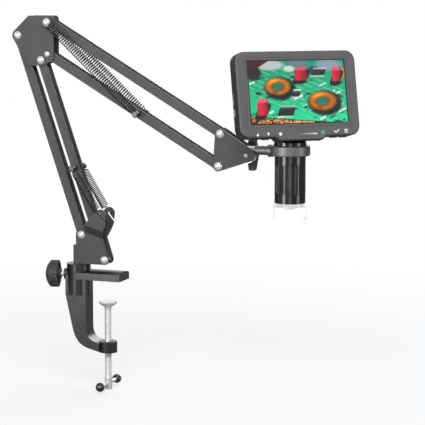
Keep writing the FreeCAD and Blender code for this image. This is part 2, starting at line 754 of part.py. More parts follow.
def tilt_washer():
    """Return the washer between the back plate and the wing handle."""
    start = V(TILT_AT_X, PLATE_OUT, TILT_AT_Z)
    washer = rod(WASHER_D, start, start + V(0, WASHER_T, 0))
    return drilled(washer, TILT_AT_X, TILT_AT_Z, TILT_BOLT_D)


def tilt_knuckle():
    """Return the round knuckle that carries the rod between the head plates."""
    half = PLATE_IN - SIDE_GAP
    centre = V(TILT_AT_X, 0, TILT_AT_Z)
    disc = rod(KNUCKLE_D, centre - V(0, half, 0), centre + V(0, half, 0))
    arm = rod(ROD_D, V(TILT_AT_X + ROD_START_X, 0, ROD_Z), V(TILT_AT_X + SLEEVE_START_X, 0, ROD_Z))
    knuckle = disc.fuse(arm).removeSplitter()
    return drilled(knuckle, TILT_AT_X, TILT_AT_Z, TILT_BOLT_D + 2 * SHAFT_GAP)


def rod_sleeve():
    """Return the dark sleeve from the knuckle to the ring's boss."""
    start = V(TILT_AT_X + SLEEVE_START_X, 0, ROD_Z)
    return rod(SLEEVE_D, start, V(SCOPE_X + RING_BOSS_X, 0, ROD_Z))


def wing_handle():
    """Return the wing handle that turns on the back end of the tilt bolt."""
    x, z = TILT_AT_X, TILT_AT_Z
    back = WING_Y + WING_HUB_LENGTH
    hub = rod(WING_HUB_D, V(x, WING_Y, z), V(x, back, z))
    r = WING_CORNER_R
    tall = WING_LENGTH / 2 - r
    tip = WING_TIP_WIDTH / 2 - r
    wide = WING_WIDTH / 2 - r
    corners = [(tip, tall), (-tip, tall), (-wide, 0), (-tip, -tall), (tip, -tall), (wide, 0)]
    wings = belt([(x + cx, z + cz, r) for cx, cz in corners], back - WING_T, back)
    hole = rod(TILT_BOLT_D + 2 * SHAFT_GAP, V(x, 0, z), V(x, back - WING_END_T, z))
    return hub.fuse(wings).cut(hole)


def holder_ring():
    """Return the ring that holds the barrel, with the boss for the rod."""
    r = RING_D / 2
    bore = BARREL_D / 2 + SHAFT_GAP
    e = RING_EDGE
    ring = spun([(bore, RING_BOTTOM), (r - e, RING_BOTTOM), (r, RING_BOTTOM + e), (r, RING_TOP - e),
                 (r - e, RING_TOP), (bore, RING_TOP)], SCOPE)
    boss = rod(RING_BOSS_D, V(SCOPE_X + RING_BOSS_X, 0, ROD_Z), V(SCOPE_X - r + 2, 0, ROD_Z))
    boss = boss.cut(upright(BARREL_D + 2, RING_BOTTOM - 20, RING_TOP + 20, SCOPE))
    return ring.fuse(boss).removeSplitter()


# Barrel

def barrel_core():
    """Return the barrel with its neck and the inner tube below."""
    r = BARREL_D / 2
    core = CORE_D / 2
    bore = CORE_BORE / 2
    neck_bottom = RING_TOP + TURN_GAP
    return spun([(bore, CORE_BOTTOM), (core, CORE_BOTTOM), (core, BARREL_STEP_Z),
                 (r, BARREL_STEP_Z), (r, neck_bottom), (NECK_D / 2, neck_bottom),
                 (NECK_D / 2, NECK_TOP - 1.5), (NECK_D / 2 - 1.5, NECK_TOP), (bore, NECK_TOP)],
                SCOPE)


def focus_ring():
    """Return the fluted focus ring."""
    top = BARREL_STEP_Z - TURN_GAP
    outer = upright(BARREL_D, FOCUS_BOTTOM, top, SCOPE)
    ring = outer.cut(upright(CORE_D + 2 * SHAFT_GAP, FOCUS_BOTTOM - 1, top + 1, SCOPE))
    groove = upright(FOCUS_GROOVE_D, FOCUS_BOTTOM + FOCUS_GROOVE_MARGIN, top - FOCUS_GROOVE_MARGIN,
                     V(BARREL_D / 2, 0, 0))
    grooves = []
    for group in range(FOCUS_GROUPS):
        for i in range(FOCUS_GROOVES):
            turn = 360 * group / FOCUS_GROUPS + (i - (FOCUS_GROOVES - 1) / 2) * FOCUS_GROOVE_PITCH
            grooves.append(groove.rotated(ORIGIN, Z_AXIS, turn).translated(SCOPE))
    return ring.cut(grooves)


def barrel_nose():
    """Return the nose that closes the barrel and carries the shroud's spigot."""
    r = BARREL_D / 2
    top = FOCUS_BOTTOM - TURN_GAP
    return spun([(CORE_D / 2, top), (CORE_D / 2, NOSE_BOTTOM + 1.2), (SPIGOT_BORE / 2, NOSE_BOTTOM),
                 (SPIGOT_BORE / 2, SPIGOT_BOTTOM), (SPIGOT_D / 2, SPIGOT_BOTTOM),
                 (SPIGOT_D / 2, NOSE_BOTTOM), (r, NOSE_BOTTOM), (r, top)], SCOPE)


def light_shroud():
    """Return the clear shroud that slips over the spigot."""
    bore = SPIGOT_D / 2 + SHAFT_GAP
    top = NOSE_BOTTOM - TURN_GAP
    r = SHROUD_D / 2
    low_bore = r - SHROUD_WALL
    return spun([(bore, SPIGOT_BOTTOM - 1), (low_bore, SPIGOT_BOTTOM - 2), (low_bore, SHROUD_BOTTOM),
                 (r - 0.4, SHROUD_BOTTOM), (r, SHROUD_BOTTOM + 0.4), (r, top), (bore, top)], SCOPE)


def lens_cell():
    """Return the tube that holds the objective lens."""
    r = LENS_CELL_D / 2
    b = LENS_CELL_BORE / 2
    flange = CORE_BORE / 2
    return spun([(b, LENS_CELL_BOTTOM), (r, LENS_CELL_BOTTOM), (r, LENS_CELL_TOP - 3),
                 (flange, LENS_CELL_TOP - 3), (flange, LENS_CELL_TOP), (b, LENS_CELL_TOP)], SCOPE)


def lens_glass():
    """Return the front lens of the objective."""
    b = LENS_CELL_BORE / 2
    low = LENS_CELL_BOTTOM + 0.6
    crown = LENS_T / 4
    edges = [Part.Arc(V(-b, 0, low + crown), V(0, 0, low), V(b, 0, low + crown)).toShape(),
             Part.LineSegment(V(b, 0, low + crown), V(b, 0, low + LENS_T)).toShape(),
             Part.LineSegment(V(b, 0, low + LENS_T), V(-b, 0, low + LENS_T)).toShape(),
             Part.LineSegment(V(-b, 0, low + LENS_T), V(-b, 0, low + crown)).toShape()]
    half = Part.Face(Part.Wire(edges)).common(Part.Face(Part.makePolygon(
        [V(0, 0, low - 5), V(b + 1, 0, low - 5), V(b + 1, 0, low + 10), V(0, 0, low + 10),
         V(0, 0, low - 5)])))
    return half.revolve(ORIGIN, Z_AXIS, 360).translated(SCOPE)


def led_board():
    """Return the ring shaped lamp board under the nose."""
    z = SPIGOT_BOTTOM + 1
    board = upright(SPIGOT_BORE, z, z + LED_BOARD_T, SCOPE)
    return board.cut(upright(LENS_CELL_D + 2 * SIDE_GAP, z - 1, z + 3, SCOPE))


def leds():
    """Return the lamps on the underside of their board."""
    top = SPIGOT_BOTTOM + 1
    lamps = []
    for i in range(LED_COUNT):
        turn = 2 * math.pi * i / LED_COUNT
        at = SCOPE + V(LED_CIRCLE_D / 2 * math.cos(turn), LED_CIRCLE_D / 2 * math.sin(turn), 0)
        lamps.append(upright(LED_D, top - LED_HEIGHT, top, at))
    return lamps


# Screen head, drawn with its display centre at the origin and its front towards -Y

def screen_placed(shape):
    """Return a screen piece leaned back, turned and set over the barrel."""
    yaw = math.radians(SCREEN_YAW)
    ahead = V(math.sin(yaw), -math.cos(yaw), 0)
    side = V(math.cos(yaw), math.sin(yaw), 0)
    centre = SCOPE + ahead * SCREEN_FORWARD + side * SCREEN_SIDE + V(0, 0, SCREEN_Z)
    leaned = shape.rotated(ORIGIN, V(1, 0, 0), -SCREEN_LEAN)
    return leaned.rotated(ORIGIN, Z_AXIS, SCREEN_YAW).translated(centre)


def case_block(y0, y1, inset):
    """Return the case's outline as a solid between two depths."""
    r = CASE_CORNER_R - inset * 0.6
    half = CASE_WIDTH / 2 - inset
    top = CASE_TOP - inset
    bottom = CASE_BOTTOM + inset
    body = belt([(half - r, top - r, r), (-half + r, top - r, r), (-half + r, bottom + r, r),
                 (half - r, bottom + r, r)], y0, y1)
    low = bottom - BULGE_DROP
    foot = BULGE_HALF - inset * 0.5
    root = foot + BULGE_RAMP
    bulge = belt([(BULGE_X - root, bottom + 2, 1), (BULGE_X - foot, low + 1, 1),
                  (BULGE_X + foot, low + 1, 1), (BULGE_X + root, bottom + 2, 1)], y0, y1)
    return body.fuse(bulge).removeSplitter()


def key_holes():
    """Return the openings for the keys in the bottom wall."""
    holes = []
    for x in (UP_KEY_X, DOWN_KEY_X, DOT_KEY_X, TICK_KEY_X, LIST_KEY_X):
        holes.append(key_block(x, KEY_GAP))
    return holes


def key_block(x, gap):
    """Return a key at a place along the bottom wall, grown by a gap."""
    bottom = CASE_BOTTOM
    if abs(x - BULGE_X) < BULGE_HALF:
        bottom = CASE_BOTTOM - BULGE_DROP
    half = KEY_LENGTH / 2 + gap
    deep = KEY_DEPTH / 2 + gap
    r = KEY_DEPTH / 4
    low = bottom - KEY_STAND
    top = bottom + CASE_WALL + KEY_INSIDE
    key = block(x - half, x + half, KEY_FROM_FRONT - deep, KEY_FROM_FRONT + deep, low, top)
    if gap:
        return key
    uprights = [e for e in key.Edges if abs(e.BoundBox.ZLength - (top - low)) < 1e-4]
    return key.makeFillet(r, uprights)


def front_bezel():
    """Return the front frame of the case with the display window."""
    outer = case_block(0, BEZEL_DEPTH, 0)
    outer = outer.makeFillet(FRONT_ROUND, outline_edges(outer, 0))
    inner = case_block(CASE_WALL + GLASS_T, BEZEL_DEPTH + 1, CASE_WALL)
    half = DISPLAY_WIDTH / 2 + WINDOW_MARGIN
    tall = DISPLAY_HEIGHT / 2 + WINDOW_MARGIN
    window = block(-half, half, -1, CASE_WALL * 3, -tall, tall)
    rebate = block(-half - GLASS_MARGIN, half + GLASS_MARGIN, -1, GLASS_T + 0.2,
                   -tall - GLASS_MARGIN, tall + GLASS_MARGIN)
    lamp = rod(LED_WINDOW_D, V(LED_WINDOW_X, -1, LED_WINDOW_Z), V(LED_WINDOW_X, 8, LED_WINDOW_Z))
    bezel = outer.cut([inner, window, rebate, lamp] + key_holes())
    return screen_placed(bezel).cut(neck_room())


def neck_room():
    """Return the room that the case leaves for the barrel's neck."""
    return upright(HUMP_D + 20, NECK_TOP - 30, NECK_TOP, SCOPE)


def rear_housing():
    """Return the rear shell with the hump over the barrel."""
    outer = case_block(BEZEL_DEPTH, CASE_DEPTH, 0)
    outer = outer.makeFillet(BACK_ROUND, outline_edges(outer, CASE_DEPTH))
    inner = case_block(BEZEL_DEPTH - 1, CASE_DEPTH - CASE_WALL, CASE_WALL)
    slot = block(-CASE_WIDTH / 2 - 1, -CASE_WIDTH / 2 + PORT_DEPTH,
                 PORT_FROM_FRONT - SLOT_HEIGHT / 2, PORT_FROM_FRONT + SLOT_HEIGHT / 2,
                 SLOT_Z - SLOT_LENGTH / 2, SLOT_Z + SLOT_LENGTH / 2)
    port = block(-CASE_WIDTH / 2 - 1, -CASE_WIDTH / 2 + PORT_DEPTH,
                 PORT_FROM_FRONT - PORT_HEIGHT / 2, PORT_FROM_FRONT + PORT_HEIGHT / 2,
                 PORT_Z - PORT_LENGTH / 2, PORT_Z + PORT_LENGTH / 2)
    shell = outer.cut([inner, slot, port] + key_holes())
    shell = screen_placed(shell)
    whole_case = screen_placed(case_block(0, CASE_DEPTH - CASE_WALL / 2, 0))
    hump = upright(HUMP_D, NECK_TOP, HUMP_TOP, SCOPE)
    top_edges = [e for e in hump.Edges if abs(e.BoundBox.ZMin - HUMP_TOP) < 1e-4]
    hump = hump.makeFillet(HUMP_CAP_R, top_edges).cut(whole_case)
    behind = max(hump.Solids, key=lambda solid: solid.Volume)
    shell = shell.fuse(behind).removeSplitter()
    hollow = upright(HUMP_D - 2 * HUMP_WALL, NECK_TOP - 1, HUMP_TOP - HUMP_WALL * 2, SCOPE)
    keep = screen_placed(case_block(-5, CASE_DEPTH, -5))
    sensor_room = upright(SENSOR_ROOM_D, NECK_TOP - 1, NECK_TOP + SENSOR_ROOM_HEIGHT, SCOPE)
    return shell.cut([hollow.cut(keep), sensor_room, neck_room()])


def cover_glass():
    """Return the cover glass over the display."""
    half = DISPLAY_WIDTH / 2 + WINDOW_MARGIN + GLASS_MARGIN - 0.1
    tall = DISPLAY_HEIGHT / 2 + WINDOW_MARGIN + GLASS_MARGIN - 0.1
    return screen_placed(block(-half, half, 0.2, GLASS_T + 0.2, -tall, tall))


def lcd_panel():
    """Return the display panel behind the window."""
    half = DISPLAY_WIDTH / 2 + PANEL_BORDER
    tall = DISPLAY_HEIGHT / 2 + PANEL_BORDER
    y0 = CASE_WALL + GLASS_T
    return screen_placed(block(-half, half, y0, y0 + PANEL_T, -tall, tall))


def main_board():
    """Return the main circuit board."""
    half = CASE_WIDTH / 2 - BOARD_INSET
    tall = (CASE_TOP - CASE_BOTTOM) / 2 - BOARD_INSET
    middle = (CASE_TOP + CASE_BOTTOM) / 2
    y0 = BEZEL_DEPTH + 0.6
    return screen_placed(block(-half, half, y0, y0 + BOARD_T, middle - tall, middle + tall))


def battery():
    """Return the flat battery behind the board."""
    y0 = BEZEL_DEPTH + 0.6 + BOARD_T + 0.4
    half = BATTERY_WIDTH / 2
    tall = BATTERY_HEIGHT / 2
    return screen_placed(block(-half, half, y0, y0 + BATTERY_T, -tall, tall))


def keys():
    """Return the five press keys by name."""
    places = {"key_up": UP_KEY_X, "key_down": DOWN_KEY_X, "key_dot": DOT_KEY_X,
              "key_tick": TICK_KEY_X, "key_list": LIST_KEY_X}
    return {name: screen_placed(key_block(x, 0)) for name, x in places.items()}


def lamp_window():
    """Return the round indicator window in the bezel."""
    start = V(LED_WINDOW_X, FRONT_ROUND * 0.1, LED_WINDOW_Z)
    return screen_placed(rod(LED_WINDOW_D, start, start + V(0, CASE_WALL + GLASS_T, 0)))


def sensor_board():
    """Return the small sensor board above the barrel, with its chip below."""
    half = SENSOR_BOARD_SIZE / 2
    z = NECK_TOP + SENSOR_STAND
    board = block(-half, half, -half, half, z, z + BOARD_T)
    chip_half = SENSOR_CHIP_SIZE / 2
    chip = block(-chip_half, chip_half, -chip_half, chip_half, z - SENSOR_CHIP_T, z)
    return board.fuse(chip).translated(SCOPE)


# Springs

def arc(start, corner, end):
    """Return the arc between two points whose tangents meet at a corner."""
    base = (start + end) * 0.5
    rise = corner - base
    half = (end - start).Length / 2
    if rise.Length < half * 1e-4:
        return Part.LineSegment(start, end).toShape()
    turn = math.atan2(rise.Length, half)
    top = base + rise * (half * math.tan(turn / 2) / rise.Length)
    return Part.Arc(start, top, end).toShape()


def biarc(start, ahead, end, ahead_end):
    """Return two arcs that join two points along two unit directions."""
    span = end - start
    along = span.dot(ahead + ahead_end)
    sharp = 2 * (1 - ahead.dot(ahead_end))
    if sharp < 1e-9:
        reach = span.dot(span) / (2 * along)
    else:
        reach = (math.sqrt(along ** 2 + sharp * span.dot(span)) - along) / sharp
    first = start + ahead * reach
    second = end - ahead_end * reach
    middle = (first + second) * 0.5
    return [arc(start, first, middle), arc(middle, second, end)]


def coil(start, axis, side, first_angle, last_angle, length):
    """Return points and directions of a helix, at most half a turn apart."""
    r = (SPRING_D - WIRE_D) / 2
    across = axis.cross(side)
    total = math.radians(last_angle - first_angle)
    steps = math.ceil(total / math.pi)
    found = []
    for i in range(steps + 1):
        turn = math.radians(first_angle) + total * i / steps
        out = side * math.cos(turn) + across * math.sin(turn)
        round_it = across * math.cos(turn) - side * math.sin(turn)
        along = round_it * (r * total) + axis * length
        along.normalize()
        found.append((start + axis * (length * i / steps) + out * r, along))
    return found


def pin_eye(centre, axis, side, pin_d):
    """Return the open eye round a pin, from its end to the leg towards the coil."""
    r = pin_d / 2 + WIRE_D / 2 + SPRING_GAP
    return [(centre - side * r + axis * WIRE_D * 1.2, axis * -1),
            (centre - side * r, axis * -1),
            (centre - axis * r, side),
            (centre + side * r, axis),
            (centre + side * r + axis * WIRE_D, axis)]


def slit_hook(centre, axis, out):
    """Return the bent end through a hook plate's slit, with the leg beside the plate."""
    leg = PLATE_T / 2 + WIRE_D / 2 + SPRING_GAP
    seat = centre + axis * HOOK_SEAT
    return [(seat - out * (PLATE_T / 2 + WIRE_D), out),
            (seat + out * (leg - HOOK_BEND), out),
            (seat + out * leg + axis * HOOK_BEND, axis),
            (seat + out * leg + axis * (HOOK_BEND + WIRE_D), axis)]


def turned_round(path):
    """Return a path that runs the other way."""
    return [(point, ahead * -1) for point, ahead in reversed(path)]


def wire_gap(spine):
    """Return the least gap between a spring's wire and itself, measured on points."""
    points = []
    for edge in spine.Edges:
        points += edge.discretize(Number=5)[:-1]
    least = SPRING_D
    for i, point in enumerate(points):
        run = 0
        for j in range(i + 1, min(i + 60, len(points))):
            run += (points[j] - points[j - 1]).Length
            if run > SPRING_D:
                least = min(least, (points[j] - point).Length)
    return least - WIRE_D


def tube(name, path):
    """Return the wire along a path of points and directions, as one pipe."""
    edges = []
    for (p0, t0), (p1, t1) in zip(path, path[1:]):
        edges += biarc(p0, t0, p1, t1)
    spine = Part.Wire(edges)
    start, ahead = path[0]
    profile = Part.Wire([Part.makeCircle(WIRE_D / 2, start, ahead)])
    print(name, "least gap", round(wire_gap(spine), 2), "mm")
    return spine.makePipeShell([profile], True, False)


def lower_spring(name, y):
    """Return a lower spring, from its hook plate to the pin on the inner bar."""
    hook = V(HOOK_X, y, HOOK_Z)
    pin = V(LOWER_PIN_X, y, LOWER_PIN_Z)
    out = V(0, math.copysign(1, y), 0)
    axis = (pin - hook).normalize()
    side = axis.cross(V(0, 1, 0))
    start = hook + axis * HOOK_LEAD
    end = pin - axis * SPRING_LEAD
    first_angle = LEAD_ANGLE + (90 if axis.cross(side).dot(out) > 0 else -90)
    body = coil(start, axis, side, first_angle, 360 * LOWER_TURNS - LEAD_ANGLE, (end - start).Length)
    last = turned_round(pin_eye(pin, axis * -1, side, SPRING_PIN_D))
    return tube(name, slit_hook(hook, axis, out) + body + last)


def upper_spring(name, y):
    """Return an upper spring, from the elbow's long pin to the pin on the bottom bar."""
    top = V(TOP_X, y, TOP_Z)
    pin = V(UPPER_PIN_X, y, UPPER_PIN_Z)
    axis = (pin - top).normalize()
    side = axis.cross(V(0, 1, 0))
    start = top + axis * SPRING_LEAD
    end = pin - axis * SPRING_LEAD
    body = coil(start, axis, side, LEAD_ANGLE, 360 * UPPER_TURNS - LEAD_ANGLE, (end - start).Length)
    last = turned_round(pin_eye(pin, axis * -1, side, SPRING_PIN_D))
    return tube(name, pin_eye(top, axis, side, PIVOT_D) + body + last)


os.makedirs("parts", exist_ok=True)

save("clamp_frame", clamp_frame())
save("pressure_pad", pressure_pad())
save("clamp_screw", clamp_screw())
save("tommy_bar", tommy_bar())
save("tommy_bar_balls", *tommy_balls())
save("lock_knob_cap", lock_knob_cap())
save("lock_knob_stud", lock_knob_stud())

save("base_bracket", base_bracket())
post, post_head = swivel_post()
save("swivel_post", post)
save("swivel_post_head", post_head)
save("base_pivot_pins", rivet(BASE_OUTER_X, BASE_OUTER_Z), rivet(BASE_INNER_X, BASE_INNER_Z))

save("lower_outer_bar", lower_bar(BASE_OUTER_X, BASE_OUTER_Z, SHAFT_GAP))
inner_bar = lower_bar(BASE_INNER_X, BASE_INNER_Z, OPEN_PIVOT_GAP)
save("lower_inner_bar", drilled(inner_bar, LOWER_PIN_X, LOWER_PIN_Z, SPRING_PIN_D))
save("lower_spring_pin", spring_pin(LOWER_PIN_X, LOWER_PIN_Z, LOWER_ANGLE))
save("elbow_plates", *elbow_plates())
save("elbow_pivot_pins", rivet(ELBOW_X, ELBOW_Z), rivet(INNER_X, INNER_Z),
     rivet(LOW_X, LOW_Z, SMALL_HEAD_D, SMALL_HEAD_H))
save("elbow_spring_pin", elbow_spring_pin())
save("upper_top_bar", upper_bar(TOP_X, TOP_Z, SHAFT_GAP))
bottom_bar = upper_bar(LOW_X, LOW_Z, OPEN_PIVOT_GAP)
save("upper_bottom_bar", drilled(bottom_bar, UPPER_PIN_X, UPPER_PIN_Z, SPRING_PIN_D))
save("upper_spring_pin", spring_pin(UPPER_PIN_X, UPPER_PIN_Z, UPPER_ANGLE))

save("head_plates", *head_plates())
save("head_pivot_pins", rivet(HEAD_X, HEAD_Z), rivet(HEAD_LOW_X, HEAD_LOW_Z))
save("tilt_bolt", tilt_bolt())
save("tilt_washer", tilt_washer())
save("tilt_knuckle", tilt_knuckle())
save("rod_sleeve", rod_sleeve())
save("wing_handle", wing_handle())
save("holder_ring", holder_ring())

save("barrel_core", barrel_core())
save("focus_ring", focus_ring())
save("barrel_nose", barrel_nose())
save("light_shroud", light_shroud())
save("lens_cell", lens_cell())
save("lens_glass", lens_glass())
save("led_board", led_board())
save("leds", *leds())
save("sensor_board", sensor_board())

save("front_bezel", front_bezel())
save("rear_housing", rear_housing())
save("cover_glass", cover_glass())
save("lcd_panel", lcd_panel())
save("main_board", main_board())
save("battery", battery())
save("indicator_window", lamp_window())
for name, shape in keys().items():
    save(name, shape)

for side, place in ((-1, "front"), (1, "back")):
    for name, make in (("lower_spring_", lower_spring), ("upper_spring_", upper_spring)):
        save(name + place, make(name + place, side * HOOK_PLANE))
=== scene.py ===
import math
import bpy
import numpy as np
from mathutils import Matrix, Vector


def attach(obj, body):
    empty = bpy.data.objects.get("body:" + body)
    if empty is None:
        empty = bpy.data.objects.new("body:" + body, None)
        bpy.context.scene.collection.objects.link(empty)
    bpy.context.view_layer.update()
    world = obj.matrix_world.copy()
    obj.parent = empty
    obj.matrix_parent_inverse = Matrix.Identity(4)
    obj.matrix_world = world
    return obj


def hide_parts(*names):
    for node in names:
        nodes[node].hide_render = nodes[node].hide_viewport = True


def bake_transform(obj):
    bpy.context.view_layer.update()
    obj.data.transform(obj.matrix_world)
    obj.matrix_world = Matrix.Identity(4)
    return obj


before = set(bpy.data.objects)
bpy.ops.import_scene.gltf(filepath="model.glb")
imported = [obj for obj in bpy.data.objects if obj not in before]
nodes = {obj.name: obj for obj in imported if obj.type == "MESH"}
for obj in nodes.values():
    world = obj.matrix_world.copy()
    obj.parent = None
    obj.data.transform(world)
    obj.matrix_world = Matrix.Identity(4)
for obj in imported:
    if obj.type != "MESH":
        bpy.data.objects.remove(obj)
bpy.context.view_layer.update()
MM = 0.001

# Camera, at the photograph's viewing angle

CAMERA_AT = Vector((756.76, -1746.88, 323.43)) * MM
CAMERA_AHEAD = Vector((-0.33909, 0.93165, -0.13053))
FOCAL_PIXELS = 1775
PICTURE_PIXELS = 425
SENSOR = 36.0

camera_data = bpy.data.cameras.new("camera")
camera_data.sensor_fit = "HORIZONTAL"
camera_data.sensor_width = SENSOR
camera_data.lens = FOCAL_PIXELS / PICTURE_PIXELS * SENSOR
camera_data.clip_start = 0.05
camera_data.clip_end = 50
camera = bpy.data.objects.new("camera", camera_data)
camera.location = CAMERA_AT
camera.rotation_euler = CAMERA_AHEAD.to_track_quat("-Z", "Y").to_euler()
bpy.context.scene.collection.objects.link(camera)
bpy.context.scene.camera = camera
bpy.context.scene.view_settings.view_transform = "Standard"


# Screen, as placed over the barrel, in millimetres

SCREEN_YAW = math.radians(41)
SCREEN_LEAN = math.radians(12)
BARREL_X = 206.56
SCREEN_AHEAD = 11.2
SCREEN_ASIDE = 3.7
SCREEN_X = BARREL_X + SCREEN_AHEAD * math.sin(SCREEN_YAW) + SCREEN_ASIDE * math.cos(SCREEN_YAW)
SCREEN_Y = SCREEN_ASIDE * math.sin(SCREEN_YAW) - SCREEN_AHEAD * math.cos(SCREEN_YAW)
SCREEN_Z = 208.74
SCREEN_CENTRE = Vector((SCREEN_X, SCREEN_Y, SCREEN_Z))
SCREEN_TURN = Matrix.Rotation(SCREEN_YAW, 3, "Z") @ Matrix.Rotation(-SCREEN_LEAN, 3, "X")
DISPLAY_W = 108.0
DISPLAY_H = 64.8


# Materials

def linear(grey):
    """Return the linear value of a display grey from 0 to 255, or of an array of them."""
    share = np.asarray(grey) / 255
    return np.where(share <= 0.04045, share / 12.92, ((share + 0.055) / 1.055) ** 2.4)


def colour(r, g, b):
    """Return the shader colour of display values from 0 to 255."""
    return (*linear((r, g, b)).tolist(), 1.0)


class Surface:
    """A material being built: its node tree and its shader."""

    def __init__(self, name):
        """Start a material with a plain shader."""
        self.material = bpy.data.materials.new(name)
        self.material.use_nodes = True
        self.tree = self.material.node_tree
        self.shader = self.tree.nodes["Principled BSDF"]

    def add(self, kind, **values):
        """Add a node, with its settings and the values of its inputs."""
        node = self.tree.nodes.new(kind)
        for key, value in values.items():
            if hasattr(node, key):
                setattr(node, key, value)
            else:
                node.inputs[key.replace("_", " ")].default_value = value
        return node

    def link(self, source, target):
        """Join an output to an input."""
        self.tree.links.new(source, target)

    def set(self, **values):
        """Set values of the shader that are the same everywhere."""
        for key, value in values.items():
            self.shader.inputs[key.replace("_", " ")].default_value = value

    def noise(self, scale, detail=3.0, stretch=(1, 1, 1)):
        """Return the output of a noise in the part's own space, its scale in cells per metre."""
        place = self.add("ShaderNodeTexCoord")
        mapping = self.add("ShaderNodeMapping")
        mapping.inputs["Scale"].default_value = stretch
        noise = self.add("ShaderNodeTexNoise", Scale=scale, Detail=detail, Roughness=0.55)
        self.link(place.outputs["Object"], mapping.inputs["Vector"])
        self.link(mapping.outputs["Vector"], noise.inputs["Vector"])
        return noise.outputs["Fac"]

    def ranged(self, value, low, high, start=0.3, end=0.7):
        """Return a value mapped from start and end to low and high."""
        node = self.add("ShaderNodeMapRange")
        node.inputs["From Min"].default_value = start
        node.inputs["From Max"].default_value = end
        node.inputs["To Min"].default_value = low
        node.inputs["To Max"].default_value = high
        self.link(value, node.inputs["Value"])
        return node.outputs["Result"]

    def mix(self, share, first, second):
        """Return the first colour where the share is 0, and the second where it is 1."""
        node = self.add("ShaderNodeMix", data_type="RGBA")
        self.link(share, node.inputs["Factor"])
        self.link(first, node.inputs[6])
        self.link(second, node.inputs[7])
        return node.outputs[2]

    def ramp(self, value, dark, light, start=0.3, end=0.7):
        """Return colours between a dark and a light one, by a value."""
        node = self.add("ShaderNodeValToRGB")
        node.color_ramp.elements[0].position = start
        node.color_ramp.elements[1].position = end
        node.color_ramp.elements[0].color = dark
        node.color_ramp.elements[1].color = light
        self.link(value, node.inputs["Fac"])
        return node.outputs["Color"]

    def bumps(self, *layers, soften=0.0):
        """Link a chain of bumps, each (value, depth in metres), over edges softened by a radius."""
        normal = None
        if soften:
            normal = self.add("ShaderNodeBevel", samples=4, Radius=soften).outputs["Normal"]
        for value, depth in layers:
            bump = self.add("ShaderNodeBump", Strength=1.0, Distance=depth)
            self.link(value, bump.inputs["Height"])
            if normal is not None:
                self.link(normal, bump.inputs["Normal"])
            normal = bump.outputs["Normal"]
        self.link(normal, self.shader.inputs["Normal"])


def scaled(shade, factor):
    """Return a shader colour made lighter or darker."""
    return tuple(min(1.0, channel * factor) for channel in shade[:3]) + (1.0,)


ROUGH_SPREAD = 0.12


def finish_of(name, shade, rough, spread, grain, depth, soften=0.0, stretch=(1, 1, 1), mottle=90,
              **settings):
    """Return a material with mottled colour and roughness and a grain."""
    surface = Surface(name)
    surface.set(**settings)
    patches = surface.noise(mottle, 4.0)
    fine = surface.noise(grain, 2.0, stretch)
    surface.link(surface.ramp(patches, scaled(shade, 1 - spread), scaled(shade, 1 + spread)),
                 surface.shader.inputs["Base Color"])
    roughness = surface.ranged(patches, rough * (1 - ROUGH_SPREAD), rough * (1 + ROUGH_SPREAD))
    surface.link(roughness, surface.shader.inputs["Roughness"])
    surface.bumps((fine, depth), soften=soften)
    return surface.material


# Radius and limits of the painted highlight along the coat's edges
EDGE_HIGHLIGHT_RADIUS = 0.0006
FULL_HIGHLIGHT_AT = 0.78
NO_HIGHLIGHT_AT = 0.95


def edge_highlighted_coat():
    """Return the arm's powder coat: dark grey, with a painted highlight making it lighter along its
    edges.

    An edge is where the rounded normal and the true one differ: their product is low there.
    """
    surface = Surface("powder_coat")
    surface.set(Specular_IOR_Level=0.2)
    patches = surface.noise(90, 4.0)
    coat = surface.ramp(patches, colour(76, 76, 77), colour(84, 84, 85))
    # Painted highlight: a lighter copy of the coat along its edges
    edge_highlight = surface.ramp(patches, colour(92, 92, 94), colour(112, 112, 115))
    edge = surface.add("ShaderNodeBevel", samples=4, Radius=EDGE_HIGHLIGHT_RADIUS)
    shape = surface.add("ShaderNodeNewGeometry")
    turned = surface.add("ShaderNodeVectorMath", operation="DOT_PRODUCT")
    surface.link(edge.outputs["Normal"], turned.inputs[0])
    surface.link(shape.outputs["Normal"], turned.inputs[1])
    highlight_share = surface.ranged(turned.outputs["Value"], 1, 0, FULL_HIGHLIGHT_AT, NO_HIGHLIGHT_AT)
    surface.link(surface.mix(highlight_share, coat, edge_highlight), surface.shader.inputs["Base Color"])
    surface.link(surface.ranged(patches, 0.42, 0.52), surface.shader.inputs["Roughness"])
    surface.bumps((surface.noise(2600, 2.0), 0.000012), soften=0.0003)
    return surface.material


POWDER_COAT = edge_highlighted_coat()
CAST_ENAMEL = finish_of("cast_enamel", colour(33, 33, 35), 0.3, 0.06, 900, 0.00002, soften=0.0006,
                        Specular_IOR_Level=0.5)
BRIGHT_STEEL = finish_of("bright_steel", colour(243, 243, 245), 0.2, 0.03, 500, 0.00001, soften=0.0002,
                         Metallic=0.3)
SATIN_METAL = finish_of("satin_metal", colour(104, 102, 102), 0.5, 0.03, 900, 0.000004, soften=0.0003,
                        stretch=(0.4, 0.4, 6), Metallic=0.95)
DARK_STEEL = finish_of("dark_steel", colour(52, 52, 54), 0.34, 0.15, 2200, 0.00002, soften=0.0002,
                       Metallic=0.5, Specular_IOR_Level=0.3)
SPRING_WIRE = finish_of("spring_wire", colour(84, 84, 87), 0.26, 0.2, 5000, 0.00001, mottle=400,
                        Metallic=0.8, Specular_IOR_Level=0.3)
KNOB_PLASTIC = finish_of("knob_plastic", colour(68, 68, 70), 0.5, 0.08, 1800, 0.00004, soften=0.0005,
                         Specular_IOR_Level=0.3)
BALL_PLASTIC = finish_of("ball_plastic", colour(28, 28, 30), 0.14, 0.12, 1200, 0.00001,
                         Specular_IOR_Level=0.8)
